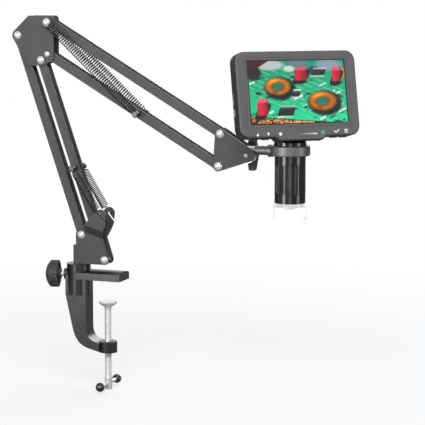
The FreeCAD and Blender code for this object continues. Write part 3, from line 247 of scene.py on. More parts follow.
BARREL_COAT = finish_of("barrel_coat", colour(20, 20, 22), 0.25, 0.03, 900, 0.000001, soften=0.0001,
                        stretch=(0.4, 0.4, 6), Specular_IOR_Level=0.5)
CASE_PLASTIC = finish_of("case_plastic", colour(50, 50, 52), 0.42, 0.1, 2400, 0.00004,
                         soften=0.0004, Specular_IOR_Level=0.3)
KEY_PLASTIC = finish_of("key_plastic", colour(52, 52, 54), 0.35, 0.12, 2400, 0.00002, soften=0.0003,
                        Specular_IOR_Level=0.35)


# Depths behind the front face where the painted side shade fades in
SIDE_SHADE_START = 0.0007
SIDE_SHADE_END = 0.0012


def bezel_with_shaded_sides():
    """Return the bezel's grey plastic, with painted shade making its sides darker than its front face.
    """
    surface = Surface("bezel_plastic_shaded_sides")
    surface.set(Specular_IOR_Level=0.3)
    patches = surface.noise(90, 4.0)
    face = surface.ramp(patches, colour(101, 101, 101), colour(108, 108, 108))
    # Painted shade: a darker copy of the bezel plastic for its sides
    sides = surface.ramp(patches, colour(46, 46, 48), colour(56, 56, 58))
    place = surface.add("ShaderNodeTexCoord")
    depth = surface.add("ShaderNodeVectorMath", operation="DOT_PRODUCT")
    front = SCREEN_TURN @ Vector((0, -1, 0))
    depth.inputs[1].default_value = front
    surface.link(place.outputs["Object"], depth.inputs[0])
    level = (SCREEN_CENTRE * MM).dot(front)
    share = surface.ranged(depth.outputs["Value"], 0, 1,
                           level - SIDE_SHADE_END, level - SIDE_SHADE_START)
    surface.link(surface.mix(share, sides, face), surface.shader.inputs["Base Color"])
    surface.link(surface.ranged(patches, 0.42, 0.5), surface.shader.inputs["Roughness"])
    surface.bumps((surface.noise(3000, 2.0), 0.00002), soften=0.0004)
    return surface.material


SHADED_BEZEL_PLASTIC = bezel_with_shaded_sides()
CIRCUIT_BOARD = finish_of("circuit_board", colour(40, 120, 80), 0.4, 0.3, 1500, 0.00004)
LAMP_BODY = Surface("lamp_body")
LAMP_BODY.set(Emission_Color=(1.0, 0.98, 0.94, 1.0), Emission_Strength=1.6)
LAMP_BODY.link(LAMP_BODY.ramp(LAMP_BODY.noise(600), colour(225, 222, 200), colour(250, 250, 240)),
               LAMP_BODY.shader.inputs["Base Color"])
FOIL = finish_of("battery_foil", colour(170, 170, 172), 0.35, 0.1, 700, 0.0001, Metallic=0.3)
PANEL_BODY = finish_of("panel_body", colour(34, 36, 36), 0.3, 0.1, 1200, 0.00002)
LENS = finish_of("lens", colour(240, 245, 250), 0.03, 0.02, 500, 0.000001, Transmission_Weight=0.9,
                 IOR=1.5)
COVER = finish_of("display_cover", colour(250, 250, 250), 0.05, 0.01, 900, 0.000002,
                  Transmission_Weight=1.0, IOR=1.2)


# Facing values where the painted edge shade begins and where it is full
EDGE_SHADE_FROM = 0.7
EDGE_SHADE_AT = 0.96


def glowing_shroud_finish():
    """Return the light shroud's clear plastic, with a painted glow, and greyed by painted shade where
    its wall is seen edge on.
    """
    surface = Surface("clear_plastic")
    # Painted glow: the clear plastic gives off light of its own, though it is no lamp
    surface.set(Transmission_Weight=0.75, IOR=1.3, Emission_Color=(1, 1, 1, 1), Emission_Strength=0.14)
    patches = surface.noise(60, 4.0)
    face = surface.ramp(patches, colour(248, 248, 250), colour(254, 254, 255))
    # Painted shade: a grey copy of the plastic where its wall is seen edge on
    edge = surface.ramp(patches, colour(104, 104, 107), colour(120, 120, 123))
    view = surface.add("ShaderNodeLayerWeight", Blend=0.5)
    share = surface.ranged(view.outputs["Facing"], 0, 1, EDGE_SHADE_FROM, EDGE_SHADE_AT)
    surface.link(surface.mix(share, face, edge), surface.shader.inputs["Base Color"])
    surface.link(surface.ranged(patches, 0.1, 0.14), surface.shader.inputs["Roughness"])
    surface.bumps((surface.noise(300, 2.0), 0.00002))
    return surface.material


GLOWING_CLEAR_PLASTIC = glowing_shroud_finish()
LIGHT_PIPE = Surface("light_pipe")
LIGHT_PIPE.set(Emission_Color=colour(62, 186, 188), Emission_Strength=0.55, Roughness=0.3)
LIGHT_PIPE.link(LIGHT_PIPE.ramp(LIGHT_PIPE.noise(500), colour(24, 110, 112), colour(40, 140, 142)),
                LIGHT_PIPE.shader.inputs["Base Color"])
# White print with a painted glow: the marks give off light of their own, though they are no lamp
GLOWING_PRINT = finish_of("symbol_print_painted_glow", colour(240, 240, 242), 0.5, 0.03, 2500, 0.00001,
                  Emission_Color=(1, 1, 1, 1), Emission_Strength=0.3)

NODE_MATERIALS = {
    CAST_ENAMEL: ("clamp_frame",),
    BRIGHT_STEEL: ("pressure_pad", "clamp_screw", "tommy_bar", "lock_knob_stud", "swivel_post",
                   "swivel_post_head", "base_pivot_pins", "elbow_pivot_pins", "elbow_spring_pin",
                   "head_pivot_pins", "tilt_bolt", "tilt_washer", "tilt_knuckle"),
    POWDER_COAT: ("base_bracket", "lower_outer_bar", "lower_inner_bar", "elbow_plates",
                  "upper_top_bar", "upper_bottom_bar", "head_plates"),
    DARK_STEEL: ("lower_spring_pin", "upper_spring_pin"),
    SATIN_METAL: ("rod_sleeve", "holder_ring"),
    KNOB_PLASTIC: ("lock_knob_cap", "wing_handle"),
    BALL_PLASTIC: ("tommy_bar_balls",),
    BARREL_COAT: ("barrel_core", "focus_ring", "barrel_nose", "lens_cell"),
    SHADED_BEZEL_PLASTIC: ("front_bezel",),
    CASE_PLASTIC: ("rear_housing",),
    KEY_PLASTIC: ("key_up", "key_down", "key_dot", "key_tick", "key_list"),
    CIRCUIT_BOARD: ("main_board", "led_board", "sensor_board"),
    LAMP_BODY.material: ("leds",),
    FOIL: ("battery",),
    PANEL_BODY: ("lcd_panel",),
    LENS: ("lens_glass",),
    COVER: ("cover_glass",),
    GLOWING_CLEAR_PLASTIC: ("light_shroud",),
    LIGHT_PIPE.material: ("indicator_window",),
}
for material, names in NODE_MATERIALS.items():
    for name in names:
        nodes[name].data.materials.clear()
        nodes[name].data.materials.append(material)


# Mesh helpers

def piece(name, points, faces, material, body, smooth=True):
    """Return a new mesh piece that rides on a body."""
    mesh = bpy.data.meshes.new(name)
    mesh.from_pydata([tuple(point) for point in points], [], faces)
    mesh.validate()
    for polygon in mesh.polygons:
        polygon.use_smooth = smooth
    mesh.materials.append(material)
    found = bpy.data.objects.new(name, mesh)
    bpy.context.scene.collection.objects.link(found)
    if body is not None:
        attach(found, body)
    return found


def swept(path, radius, sides):
    """Return the points and faces of a round tube along a path, closed at both ends."""
    path = np.array(path)
    ahead = np.gradient(path, axis=0)
    ahead /= np.linalg.norm(ahead, axis=1)[:, None]
    across = np.cross(ahead[0], (0.31, 0.47, 0.83))
    across /= np.linalg.norm(across)
    rings = []
    for point, forward in zip(path, ahead):
        across = across - forward * np.dot(across, forward)
        across /= np.linalg.norm(across)
        up = np.cross(forward, across)
        for i in range(sides):
            turn = 2 * math.pi * i / sides
            rings.append(point + radius * (math.cos(turn) * across + math.sin(turn) * up))
    faces = []
    for k in range(len(path) - 1):
        for i in range(sides):
            j = (i + 1) % sides
            faces.append((k * sides + i, k * sides + j, (k + 1) * sides + j, (k + 1) * sides + i))
    faces.append(tuple(reversed(range(sides))))
    faces.append(tuple(range((len(path) - 1) * sides, len(path) * sides)))
    return rings, faces


# Springs

WIRE_D = 1.1
SPRING_D = 9.4
SPRING_PLANE = 12.0
LOWER_TURNS = 25
UPPER_TURNS = 48
HOOK = np.array((-3.9, 71.6))
LOWER_PIN = np.array((-34.61, 121.02))
ELBOW_PIN = np.array((-63.89, 277.12))
UPPER_PIN = np.array((39.59, 181.27))
PIN_EYE_R = 2.7
ELBOW_EYE_R = 3.2
LEAD = 6.5
ELBOW_LEAD = 4.6
HOOK_LEAD = 7.2
EYE_LEG = 2.2
EYE_SWEEP = 200
EYE_STEP = 20
LOWER_REST_OF_TURN = 0.25
UPPER_REST_OF_TURN = 0.16
UPPER_FIRST = math.radians(30)
TURN_STEPS = 20
WIRE_SIDES = 8
END_STEP = 0.4

# Places on the lower springs' hooked ends, each (along the spring, outward)
HOOK_PLACES = ((0.4, -1.85), (0.4, 0.5), (1.4, 1.4), (3.0, 1.5))

# Ends of each spring's pieces, each (share of the length, weight of the second body)
LOWER_KNOTS = ((0, 0), (0.12, 0.235), (0.55, 0.72), (1, 1))
UPPER_KNOTS = ((0.02, 0), (0.4, 1))


def flat(point, y):
    """Return a place (x, z) of the arm's plane, moved sideways to y."""
    return np.array((point[0], y, point[1]))


def smooth_path(points, step):
    """Return a Catmull-Rom curve through points, sampled about every step."""
    points = [np.array(p, float) for p in points]
    points = [2 * points[0] - points[1]] + points + [2 * points[-1] - points[-2]]
    found = []
    for a, b, c, d in zip(points, points[1:], points[2:], points[3:]):
        count = max(2, int(np.linalg.norm(c - b) / step))
        for i in range(count):
            t = i / count
            found.append(0.5 * (2 * b + (c - a) * t + (2 * a - 5 * b + 4 * c - d) * t * t
                                + (3 * b - a - 3 * c + d) * t ** 3))
    found.append(points[-2])
    return found


def eye(centre, axis, side, radius):
    """Return the points of an open eye round a pin, from its end to the leg."""
    found = []
    for degrees in range(EYE_SWEEP, -1, -EYE_STEP):
        turn = math.radians(degrees)
        found.append(centre + side * (radius * math.cos(turn)) - axis * (radius * math.sin(turn)))
    return found


def pin_eye(pin, axis, side):
    """Return the points of a spring's last end: its leg and the eye round its pin."""
    return [pin + side * PIN_EYE_R - axis * EYE_LEG] + eye(pin, -axis, side, PIN_EYE_R)[::-1]


def spring_path(first_points, start, end, axis, side, first, turns, last_points):
    """Return the whole line of a spring: its first end, coil and last end."""
    radius = (SPRING_D - WIRE_D) / 2
    across = np.cross(axis, side)
    total = turns * 2 * math.pi
    count = int(turns * TURN_STEPS)
    coil = []
    for i in range(count + 1):
        share = i / count
        turn = first + total * share
        out = side * math.cos(turn) + across * math.sin(turn)
        coil.append(start + (end - start) * share + out * radius)
    lead_in = smooth_path(first_points + coil[:2], END_STEP)[:-1]
    lead_out = smooth_path(coil[-2:] + last_points, END_STEP)
    return lead_in + coil[1:-2] + lead_out


def spring(name, node, path, ends, knots):
    """Make a spring of touching pieces along its path.

    Knots are (share of the length, weight of the second body) at the ends of the pieces.
    """
    start, end = ends
    axis = end - start
    shares = [float(np.dot(p - start, axis) / np.dot(axis, axis)) for p in path]
    cuts = [0]
    for share, _ in knots[1:-1]:
        cuts.append(next(i for i, s in enumerate(shares) if s > share and i > cuts[-1] + 4))
    cuts.append(len(path) - 1)
    for number, (first, last) in enumerate(zip(cuts, cuts[1:])):
        points, faces = swept([p * MM for p in path[first:last + 1]], WIRE_D / 2 * MM, WIRE_SIDES)
        made = piece(f"{name}_{number}", points, faces, SPRING_WIRE, None)
        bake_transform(made)
        if number == 0:
            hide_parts(node)


for label, sign in (("front", -1), ("back", 1)):
    y = sign * SPRING_PLANE
    out = np.array((0.0, sign, 0.0))
    hook = flat(HOOK, y)
    pin = flat(LOWER_PIN, y)
    axis = (pin - hook) / np.linalg.norm(pin - hook)
    side = np.cross(axis, (0, 1, 0))
    hook_points = [hook + axis * along + out * outward for along, outward in HOOK_PLACES]
    facing = math.atan2(float(np.dot(np.cross(axis, side), out)), 0)
    path = spring_path(hook_points, hook + axis * HOOK_LEAD, pin - axis * LEAD, axis, side,
                       facing, LOWER_TURNS - LOWER_REST_OF_TURN, pin_eye(pin, axis, side))
    spring("lower_coil_" + label, "lower_spring_" + label, path,
           (hook, pin), LOWER_KNOTS)

    top = flat(ELBOW_PIN, y)
    pin = flat(UPPER_PIN, y)
    axis = (pin - top) / np.linalg.norm(pin - top)
    side = np.cross(axis, (0, 1, 0))
    top_points = eye(top, axis, side, ELBOW_EYE_R) + [top + side * ELBOW_EYE_R + axis * EYE_LEG]
    path = spring_path(top_points, top + axis * ELBOW_LEAD, pin - axis * LEAD, axis, side,
                       UPPER_FIRST, UPPER_TURNS - UPPER_REST_OF_TURN, pin_eye(pin, axis, side))
    spring("upper_coil_" + label, "upper_spring_" + label, path,
           (top, pin), UPPER_KNOTS)


# Clamp screw with its thread

SCREW_R = 4.0
THREAD_PITCH = 1.5
THREAD_DEPTH = 0.75
SCREW_TOP_Z = -26.1
SCREW_END_Z = -121.0
THREAD_TOP_Z = -31.0
THREAD_END_Z = -108.0
THREAD_ROUNDING = 0.8
END_BEVEL = 0.6
END_CUT = 0.5
ROUND_STEPS = 40
PITCH_STEPS = 6


def threaded_rod(centre, top, end, thread_top, thread_end, radius, pitch, depth):
    """Return the points and faces of an upright rod with a helical thread."""
    points, faces = [], []
    rows = int((top - end) / pitch * PITCH_STEPS) + 1
    for k in range(rows + 1):
        z = top + (end - top) * k / rows
        fade = min(1.0, max(0.0, (thread_top - z) / pitch), max(0.0, (z - thread_end) / pitch))
        for i in range(ROUND_STEPS):
            turn = i / ROUND_STEPS
            phase = (z / pitch - turn) % 1.0
            r = radius - depth * fade * (1 - abs(2 * phase - 1)) ** THREAD_ROUNDING
            if z > top - END_BEVEL or z < end + END_BEVEL:
                r -= END_CUT * (1 - min(top - z, z - end) / END_BEVEL)
            angle = 2 * math.pi * turn
            points.append((centre[0] + r * math.cos(angle), centre[1] + r * math.sin(angle), z))
    for k in range(rows):
        for i in range(ROUND_STEPS):
            j = (i + 1) % ROUND_STEPS
            faces.append((k * ROUND_STEPS + i, (k + 1) * ROUND_STEPS + i,
                          (k + 1) * ROUND_STEPS + j, k * ROUND_STEPS + j))
    faces.append(tuple(range(ROUND_STEPS)))
    faces.append(tuple(reversed(range(rows * ROUND_STEPS, (rows + 1) * ROUND_STEPS))))
    return [Vector(p) * MM for p in points], faces


screw_points, screw_faces = threaded_rod((0, 0), SCREW_TOP_Z, SCREW_END_Z, THREAD_TOP_Z,
                                         THREAD_END_Z, SCREW_R, THREAD_PITCH, THREAD_DEPTH)
screw = piece("threaded_screw", screw_points, screw_faces, BRIGHT_STEEL, "clamp_screw")
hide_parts("clamp_screw")


# Screen face: picture, symbols

def on_screen(u, v, proud=0.0):
    """Return a place on the bezel's front plane, raised by some distance."""
    return (SCREEN_CENTRE + SCREEN_TURN @ Vector((u, -proud, v))) * MM


PICTURE_SEED = 7
PICTURE_SHADOW = (6, 26, 24)
TRACKS = 60
TRACK_SHADES = ((10, 84, 64), (226, 244, 236), (8, 40, 38))
GRAINS = 150


def painted_scene(columns, rows):
    """Return the colours of the made-up picture on the display, as rows from the bottom.

    Places and sizes are in millimetres from the display's centre.
    """
    u = np.linspace(-DISPLAY_W / 2, DISPLAY_W / 2, columns)[None, :].repeat(rows, 0)
    v = np.linspace(-DISPLAY_H / 2, DISPLAY_H / 2, rows)[:, None].repeat(columns, 1)
    rng = np.random.default_rng(PICTURE_SEED)
    picture = np.zeros((rows, columns, 3))

    def put(mask, shade):
        """Paint a shade where the mask is true."""
        picture[mask] = np.broadcast_to(np.asarray(shade, float), picture.shape)[mask]

    def soft(mask_value, shade):
        """Paint a shade with soft edges, by a mask from 0 to 1."""
        amount = np.clip(mask_value, 0, 1)[..., None]
        picture[:] = picture * (1 - amount) + np.asarray(shade, float) * amount

    far = np.clip((v + 32) / 64, 0, 1)[..., None]
    picture[:] = (16, 222, 158) * (1 - far) + np.array((8, 150, 108)) * far
    for _ in range(TRACKS):
        x, y = rng.uniform(-54, 54), rng.uniform(-32, 16)
        w, h = rng.uniform(1.2, 5), rng.uniform(0.5, 1.4)
        shade = TRACK_SHADES[rng.integers(0, 3)]
        put((abs(u - x) < w) & (abs(v - y - 0.35 * (u - x)) < h), shade)
    for k in range(9):
        line = v + 0.42 * u - (-22 + 5.5 * k)
        put((abs(line) < 0.35) & (abs((u * 0.11 + k) % 2 - 1) < 0.75), (112, 222, 182))
    for x, y, w, h, shade in ((-30, 28, 16, 5, (196, 200, 196)), (2, 30, 12, 4, (92, 132, 140)),
                              (36, 27, 15, 6, (140, 158, 176)), (20, 22, 7, 4, (46, 60, 74)),
                              (-48, 20, 8, 7, (24, 30, 30)), (50, 19, 6, 5, (222, 150, 84)),
                              (-8, 24, 6, 3, (214, 226, 220))):
        soft(1.6 - ((u - x) / w) ** 2 - ((v - y) / h) ** 2, shade)
    put(v - 0.55 * u > 49, (70, 30, 22))
    put(v < -24 - 0.09 * (u + 54), (74, 30, 14))
    for _ in range(GRAINS):
        x = rng.uniform(-54, 16)
        y = rng.uniform(-32, -25 - 0.09 * (x + 54))
        put((u - x) ** 2 + (v - y) ** 2 < 0.5, (240, 160, 84))

    def coil(x, y, radius, wire, core):
        """Paint a wound ring that lies on the board."""
        across, along = (u - x) / radius, (v - y) / (radius * 0.62)
        reach = np.hypot(across, along)
        shadow = ((u - x - 2.5) / (radius * 1.12)) ** 2 + ((v - y + 2.2) / (radius * 0.76)) ** 2
        soft((1.3 - shadow) * 2, PICTURE_SHADOW)
        put(reach < 0.95, core)
        put(reach < 0.4, (26, 120, 88))
        turn = np.arctan2(along, across)
        strands = np.cos(turn * 26 + reach * 2.2)
        rounding = np.clip(1 - ((reach - 0.69) / 0.33) ** 2, 0, 1)
        glint = 0.34 + 0.6 * rounding + 0.5 * rounding * np.exp(-((turn - 2.0) / 0.7) ** 2)
        shade = np.asarray(wire, float) * (glint * (0.82 + 0.18 * strands))[..., None]
        wound = (reach > 0.38) & (reach < 1.0) & (np.abs(turn + 1.9) > 0.28)
        put(wound, np.clip(shade, 0, 255))

    def block(x, y, w, h, deep, front, top):
        """Paint a box with a lighter top face, leaning back to the right."""
        skew = u - x - 0.5 * (v - y)
        shadow = ((skew - 2) / (w + 1.5)) ** 4 + ((v - y + h * 0.4) / (h + 2)) ** 4
        soft((1.3 - shadow) * 2, PICTURE_SHADOW)
        face = (np.abs(u - x) < w) & (np.abs(v - y) < h)
        light = 0.82 + 0.3 * np.clip(1 - np.abs((u - x) / w + 0.4), 0, 1)
        put(face, np.clip(np.asarray(front, float) * light[..., None], 0, 255))
        rise = v - y - h
        put((rise >= 0) & (rise < deep) & (np.abs(u - x - 0.5 * rise) < w), top)
        side = u - x - w
        put((side >= 0) & (side < 0.5 * deep) & (v - y < h + side * 2) & (v - y > side * 2 - h),
            np.asarray(front, float) * 0.55)

    coil(-22, 6, 15, (248, 150, 22), (150, 74, 10))
    coil(27, -10, 16.5, (250, 140, 18), (150, 70, 8))
    block(-41, -17, 5.2, 6.5, 4, (214, 24, 62), (240, 92, 118))
    block(4, 17, 6.2, 5, 4, (196, 22, 48), (232, 76, 98))
    block(44, 16, 4.4, 5.5, 4, (206, 26, 56), (236, 84, 108))

    def chip(x, y, w, h):
        """Paint a flat chip between two rows of legs."""
        skew = u - x - 0.4 * (v - y)
        for k in range(7):
            leg = np.abs(skew + w - (k + 0.5) * 2 * w / 7) < 0.55
            put(leg & (np.abs(v - y) < h + 1.7), (214, 222, 220))
        put((np.abs(skew) < w) & (np.abs(v - y) < h), (28, 34, 36))
        put((np.abs(skew) < w) & (np.abs(v - y - h + 0.7) < 0.5), (96, 108, 110))

    chip(-14, -20, 9, 4.4)
    chip(-2, -2, 4.4, 2.8)
    chip(25, 20, 7.5, 3.2)
    picture[:] = np.clip(picture, 0, 255)
    return linear(picture)


PICTURE_COLUMNS = 240
PICTURE_ROWS = 144
PICTURE_PROUD = -1.2


def coloured_sheet(name, places, shades, material, body):
    """Return a grid mesh whose corner colours come from an array of rows."""
    rows, columns = shades.shape[:2]
    faces = []
    for r in range(rows - 1):
        for c in range(columns - 1):
            a = r * columns + c
            faces.append((a, a + 1, a + columns + 1, a + columns))
    made = piece(name, places, faces, material, body, smooth=False)
    layer = made.data.color_attributes.new("shade", "FLOAT_COLOR", "POINT")
    rgba = np.concatenate([shades.reshape(-1, 3), np.ones((rows * columns, 1))], axis=1)
    layer.data.foreach_set("color", rgba.astype(np.float32).ravel())
    return made


def shaded_by_mesh(name, emission, rough):
    """Return a material that takes its colour from the mesh's own layer."""
    surface = Surface(name)
    layer = surface.add("ShaderNodeVertexColor")
    layer.layer_name = "shade"
    surface.set(Roughness=rough, Specular_IOR_Level=0.2)
    if emission:
        surface.set(Emission_Strength=emission, Base_Color=(0, 0, 0, 1))
        surface.link(layer.outputs["Color"], surface.shader.inputs["Emission Color"])
    else:
        surface.link(layer.outputs["Color"], surface.shader.inputs["Base Color"])
    return surface.material


PICTURE_LIGHT = shaded_by_mesh("display_picture", 1.0, 0.4)
picture_shades = painted_scene(PICTURE_COLUMNS, PICTURE_ROWS)
picture_places = []
for r in range(PICTURE_ROWS):
    for c in range(PICTURE_COLUMNS):
        u = (c / (PICTURE_COLUMNS - 1) - 0.5) * DISPLAY_W
        v = (r / (PICTURE_ROWS - 1) - 0.5) * DISPLAY_H
        picture_places.append(on_screen(u, v, PICTURE_PROUD))
coloured_sheet("display_picture", picture_places, picture_shades, PICTURE_LIGHT, "microscope")


def border(name, inner, outer, proud, base, material):
    """Return a flat frame on the display's cover, between two half sizes."""
    points, faces = [], []
    for depth in (proud, base):
        for half_u, half_v in (inner, outer):
            for su, sv in ((-1, -1), (1, -1), (1, 1), (-1, 1)):
                points.append(on_screen(su * half_u, sv * half_v, depth))
    for i in range(4):
        j = (i + 1) % 4
        faces.append((i, 4 + i, 4 + j, j))
        faces.append((8 + j, 12 + j, 12 + i, 8 + i))
        faces.append((4 + i, 12 + i, 12 + j, 4 + j))
        faces.append((j, 8 + j, 8 + i, i))
    return piece(name, points, faces, material, "microscope", smooth=False)


LINE_WIDTH = 0.8
COVER_EDGE = 3.3
LINE_PROUD = -0.12
BORDER_PROUD = -0.1
COVER_PROUD = -0.19
line_inner = (DISPLAY_W / 2, DISPLAY_H / 2)
line_outer = (DISPLAY_W / 2 + LINE_WIDTH, DISPLAY_H / 2 + LINE_WIDTH)
cover_outer = (DISPLAY_W / 2 + COVER_EDGE, DISPLAY_H / 2 + COVER_EDGE)
border("cover_line", line_inner, line_outer, LINE_PROUD, COVER_PROUD, BALL_PLASTIC)
border("cover_border", line_outer, cover_outer, BORDER_PROUD, COVER_PROUD, SHADED_BEZEL_PLASTIC)


PRINT_PROUD = 0.05
PRINT_SUNK = 0.02


def printed(name, outlines):
    """Return flat printed marks on the bezel, white with a painted glow, each outline a list of (u,
    v).
    """
    points, faces = [], []
    for outline in outlines:
        start = len(points)
        count = len(outline)
        points += [on_screen(u, v, PRINT_PROUD) for u, v in outline]
        points += [on_screen(u, v, -PRINT_SUNK) for u, v in outline]
        faces.append(tuple(range(start, start + count)))
        for i in range(count):
            j = (i + 1) % count
            faces.append((start + i, start + count + i, start + count + j, start + j))
    return piece(name, points, faces, GLOWING_PRINT, "microscope", smooth=False)


def disc(u, v, radius, count=24):
    """Return the outline of a disc."""
    turns = [2 * math.pi * i / count for i in range(count)]
    return [(u + radius * math.cos(turn), v + radius * math.sin(turn)) for turn in turns]


STROKE_END = 0.3


def stroke(points, width):
    """Return the outlines of a line of straight strokes."""
    found = []
    for (u0, v0), (u1, v1) in zip(points, points[1:]):
        length = math.hypot(u1 - u0, v1 - v0)
        du, dv = (u1 - u0) / length, (v1 - v0) / length
        u0, v0 = u0 - du * width * STROKE_END, v0 - dv * width * STROKE_END
        u1, v1 = u1 + du * width * STROKE_END, v1 + dv * width * STROKE_END
        nu, nv = -dv * width / 2, du * width / 2
        found.append([(u0 + nu, v0 + nv), (u0 - nu, v0 - nv), (u1 - nu, v1 - nv), (u1 + nu, v1 + nv)])
    return found


SYMBOL_V = -43.0
TRIANGLE = 1.55
UP_U = -48.3
DOWN_U = -36.6
DOT_U = -23.3
DOT_R = 1.7
TICK_POINTS = ((37.2, -41.6), (39.1, -43.3), (42.4, -40.2))
TICK_WIDTH = 0.9
LIST_START = 48.8
LIST_END = 52.2
LIST_LEVELS = (-40.4, -41.9, -43.4)
LIST_WIDTH = 0.75

printed("mark_up", [[(UP_U - TRIANGLE, SYMBOL_V - TRIANGLE), (UP_U + TRIANGLE, SYMBOL_V - TRIANGLE),
                     (UP_U, SYMBOL_V + TRIANGLE)]])
printed("mark_down", [[(DOWN_U - TRIANGLE, SYMBOL_V + TRIANGLE), (DOWN_U, SYMBOL_V - TRIANGLE),
                       (DOWN_U + TRIANGLE, SYMBOL_V + TRIANGLE)]])
printed("mark_dot", [disc(DOT_U, SYMBOL_V, DOT_R)])
printed("mark_tick", stroke(TICK_POINTS, TICK_WIDTH))
list_lines = [stroke([(LIST_START, v), (LIST_END, v)], LIST_WIDTH) for v in LIST_LEVELS]
printed("mark_list", list_lines[0] + list_lines[1] + list_lines[2])

BAR_START = -5.9
BAR_END = 17.7
BAR_V = -43.7
BAR_HALF = 0.7
BAR_THIN = 0.35
BAR_DARK = 112
BAR_LIGHT = 252
BAR_ROWS = 5
BAR_STEPS = 40
bar_places = []
bar_shades = np.zeros((BAR_ROWS, BAR_STEPS, 3))
for r in range(BAR_ROWS):
    for c in range(BAR_STEPS):
        share = c / (BAR_STEPS - 1)
        half = BAR_HALF * (BAR_THIN + (1 - BAR_THIN) * share ** 0.5)
        bar_places.append(on_screen(BAR_START + (BAR_END - BAR_START) * share,
                                    BAR_V + half * (2 * r / (BAR_ROWS - 1) - 1), PRINT_PROUD))
        bar_shades[r, c] = linear(BAR_DARK + (BAR_LIGHT - BAR_DARK) * share ** 0.9)
FADING_PRINT = shaded_by_mesh("fading_print", 0, 0.5)
coloured_sheet("mark_bar", bar_places, bar_shades, FADING_PRINT, "microscope")


# Slot and port in the case's left side

CASE_HALF = 67.1
SIDE_DEPTH = 12.0
SLOT_V = -4.8
PORT_V = -18.7
MOUTH_CORNER = 0.3
MOUTH_INNER = 0.86
MOUTH_INSET = 0.2


def side_box(name, v, width, height, depth):
    """Return a thin walled metal mouth in the case's left side, with its corners cut."""
    points, faces = [], []
    cut = height * MOUTH_CORNER
    half_w = width / 2
    half_h = height / 2
    outline = [(-half_w + cut, -half_h), (half_w - cut, -half_h), (half_w, -half_h + cut),
               (half_w, half_h - cut), (half_w - cut, half_h), (-half_w + cut, half_h),
               (-half_w, half_h - cut), (-half_w, -half_h + cut)]
    count = len(outline)
    front = MOUTH_INSET
    back = MOUTH_INSET + depth
    for reach, share in ((front, 1.0), (front, MOUTH_INNER), (back, MOUTH_INNER), (back, 1.0)):
        for along, across in outline:
            places = Vector((reach - CASE_HALF, SIDE_DEPTH + across * share, v + along * share))
            points.append((SCREEN_CENTRE + SCREEN_TURN @ places) * MM)
    for ring in range(4):
        following = (ring + 1) % 4
        for i in range(count):
            j = (i + 1) % count
            faces.append((ring * count + i, ring * count + j,
                          following * count + j, following * count + i))
    return piece(name, points, faces, BRIGHT_STEEL, "microscope", smooth=False)


side_box("port_mouth", PORT_V, width=8.0, height=2.7, depth=4.5)
side_box("slot_lip", SLOT_V, width=11.8, height=1.5, depth=3.0)


# Screws in the case's back

CASE_BACK = 18.0
SCREW_HEAD_R = 2.3
SCREW_HEAD_SIDE = 0.25
SCREW_HEAD_RISE = 0.5
SCREW_HEAD_BEVEL = 0.35
CROSS_HALF = 1.35
CROSS_WIDTH = 0.5
CROSS_FLOOR = 0.05
CASE_SCREWS = ((-57, 33), (57, 33), (-57, -36), (57, -36))


def case_screw(name, u, v):
    """Return a low round screw head with a cross sunk into it."""
    points, faces = [], []
    cross = []
    arm = CROSS_WIDTH / 2
    for quarter in range(4):
        turn = Matrix.Rotation(quarter * math.pi / 2, 2)
        for x, y in ((arm, arm), (CROSS_HALF, arm), (CROSS_HALF, -arm)):
            cross.append(turn @ Vector((x, y)))
    count = len(cross)
    rings = []
    # Each ring's radius and lift. The last two have the cross's outline in place of a radius.
    levels = ((SCREW_HEAD_R, 0.0),
              (SCREW_HEAD_R, SCREW_HEAD_SIDE),
              (SCREW_HEAD_R - SCREW_HEAD_BEVEL, SCREW_HEAD_RISE),
              (None, SCREW_HEAD_RISE),
              (None, CROSS_FLOOR))
    for radius, lift in levels:
        ring = []
        for corner in cross:
            x, y = corner if radius is None else corner.normalized() * radius
            ring.append(len(points))
            points.append(on_screen(u + x, v + y, -(CASE_BACK + lift)))
        rings.append(ring)
    for ring, following in zip(rings, rings[1:]):
        for i in range(count):
            j = (i + 1) % count
            faces.append((ring[i], ring[j], following[j], following[i]))
    faces.append(tuple(rings[-1]))
    return piece(name, points, faces, DARK_STEEL, "microscope", smooth=False)


for number, (u, v) in enumerate(CASE_SCREWS):
    case_screw(f"case_screw_{number}", u, v)


# Floor and light

FLOOR_Z = -0.1216
FLOOR_SIZE = 6.0
FLOOR_X = 0.05
FADE_START = 0.72
FADE_END = 1.0
GLOW_START = 0.35
GLOW_END = 0.9
FLOOR_SEEN = 0.96
FLOOR_BOUNCE = 0.4

floor_surface = Surface("floor")
place = floor_surface.add("ShaderNodeTexCoord")
far = floor_surface.add("ShaderNodeVectorMath", operation="LENGTH")
floor_surface.link(place.outputs["Object"], far.inputs[0])
floor_surface.set(Roughness=0.9, Specular_IOR_Level=0.1)
floor_shade = floor_surface.add("ShaderNodeMix", data_type="RGBA")
floor_shade.inputs[6].default_value = (FLOOR_BOUNCE, FLOOR_BOUNCE, FLOOR_BOUNCE, 1)
floor_shade.inputs[7].default_value = (FLOOR_SEEN, FLOOR_SEEN, FLOOR_SEEN, 1)
floor_surface.link(floor_shade.outputs[2], floor_surface.shader.inputs["Base Color"])
glow = floor_surface.add("ShaderNodeEmission", Color=(1, 1, 1, 1), Strength=1.0)
mix = floor_surface.add("ShaderNodeMixShader")
rays = floor_surface.add("ShaderNodeLightPath")
floor_surface.link(rays.outputs["Is Camera Ray"], floor_shade.inputs["Factor"])
seen = floor_surface.add("ShaderNodeMath", operation="MAXIMUM")
floor_surface.link(rays.outputs["Is Camera Ray"], seen.inputs[0])
floor_surface.link(rays.outputs["Is Transmission Ray"], seen.inputs[1])
faded = floor_surface.ranged(far.outputs["Value"], FADE_START, FADE_END, GLOW_START, GLOW_END)
amount = floor_surface.add("ShaderNodeMath", operation="MULTIPLY")
floor_surface.link(faded, amount.inputs[0])
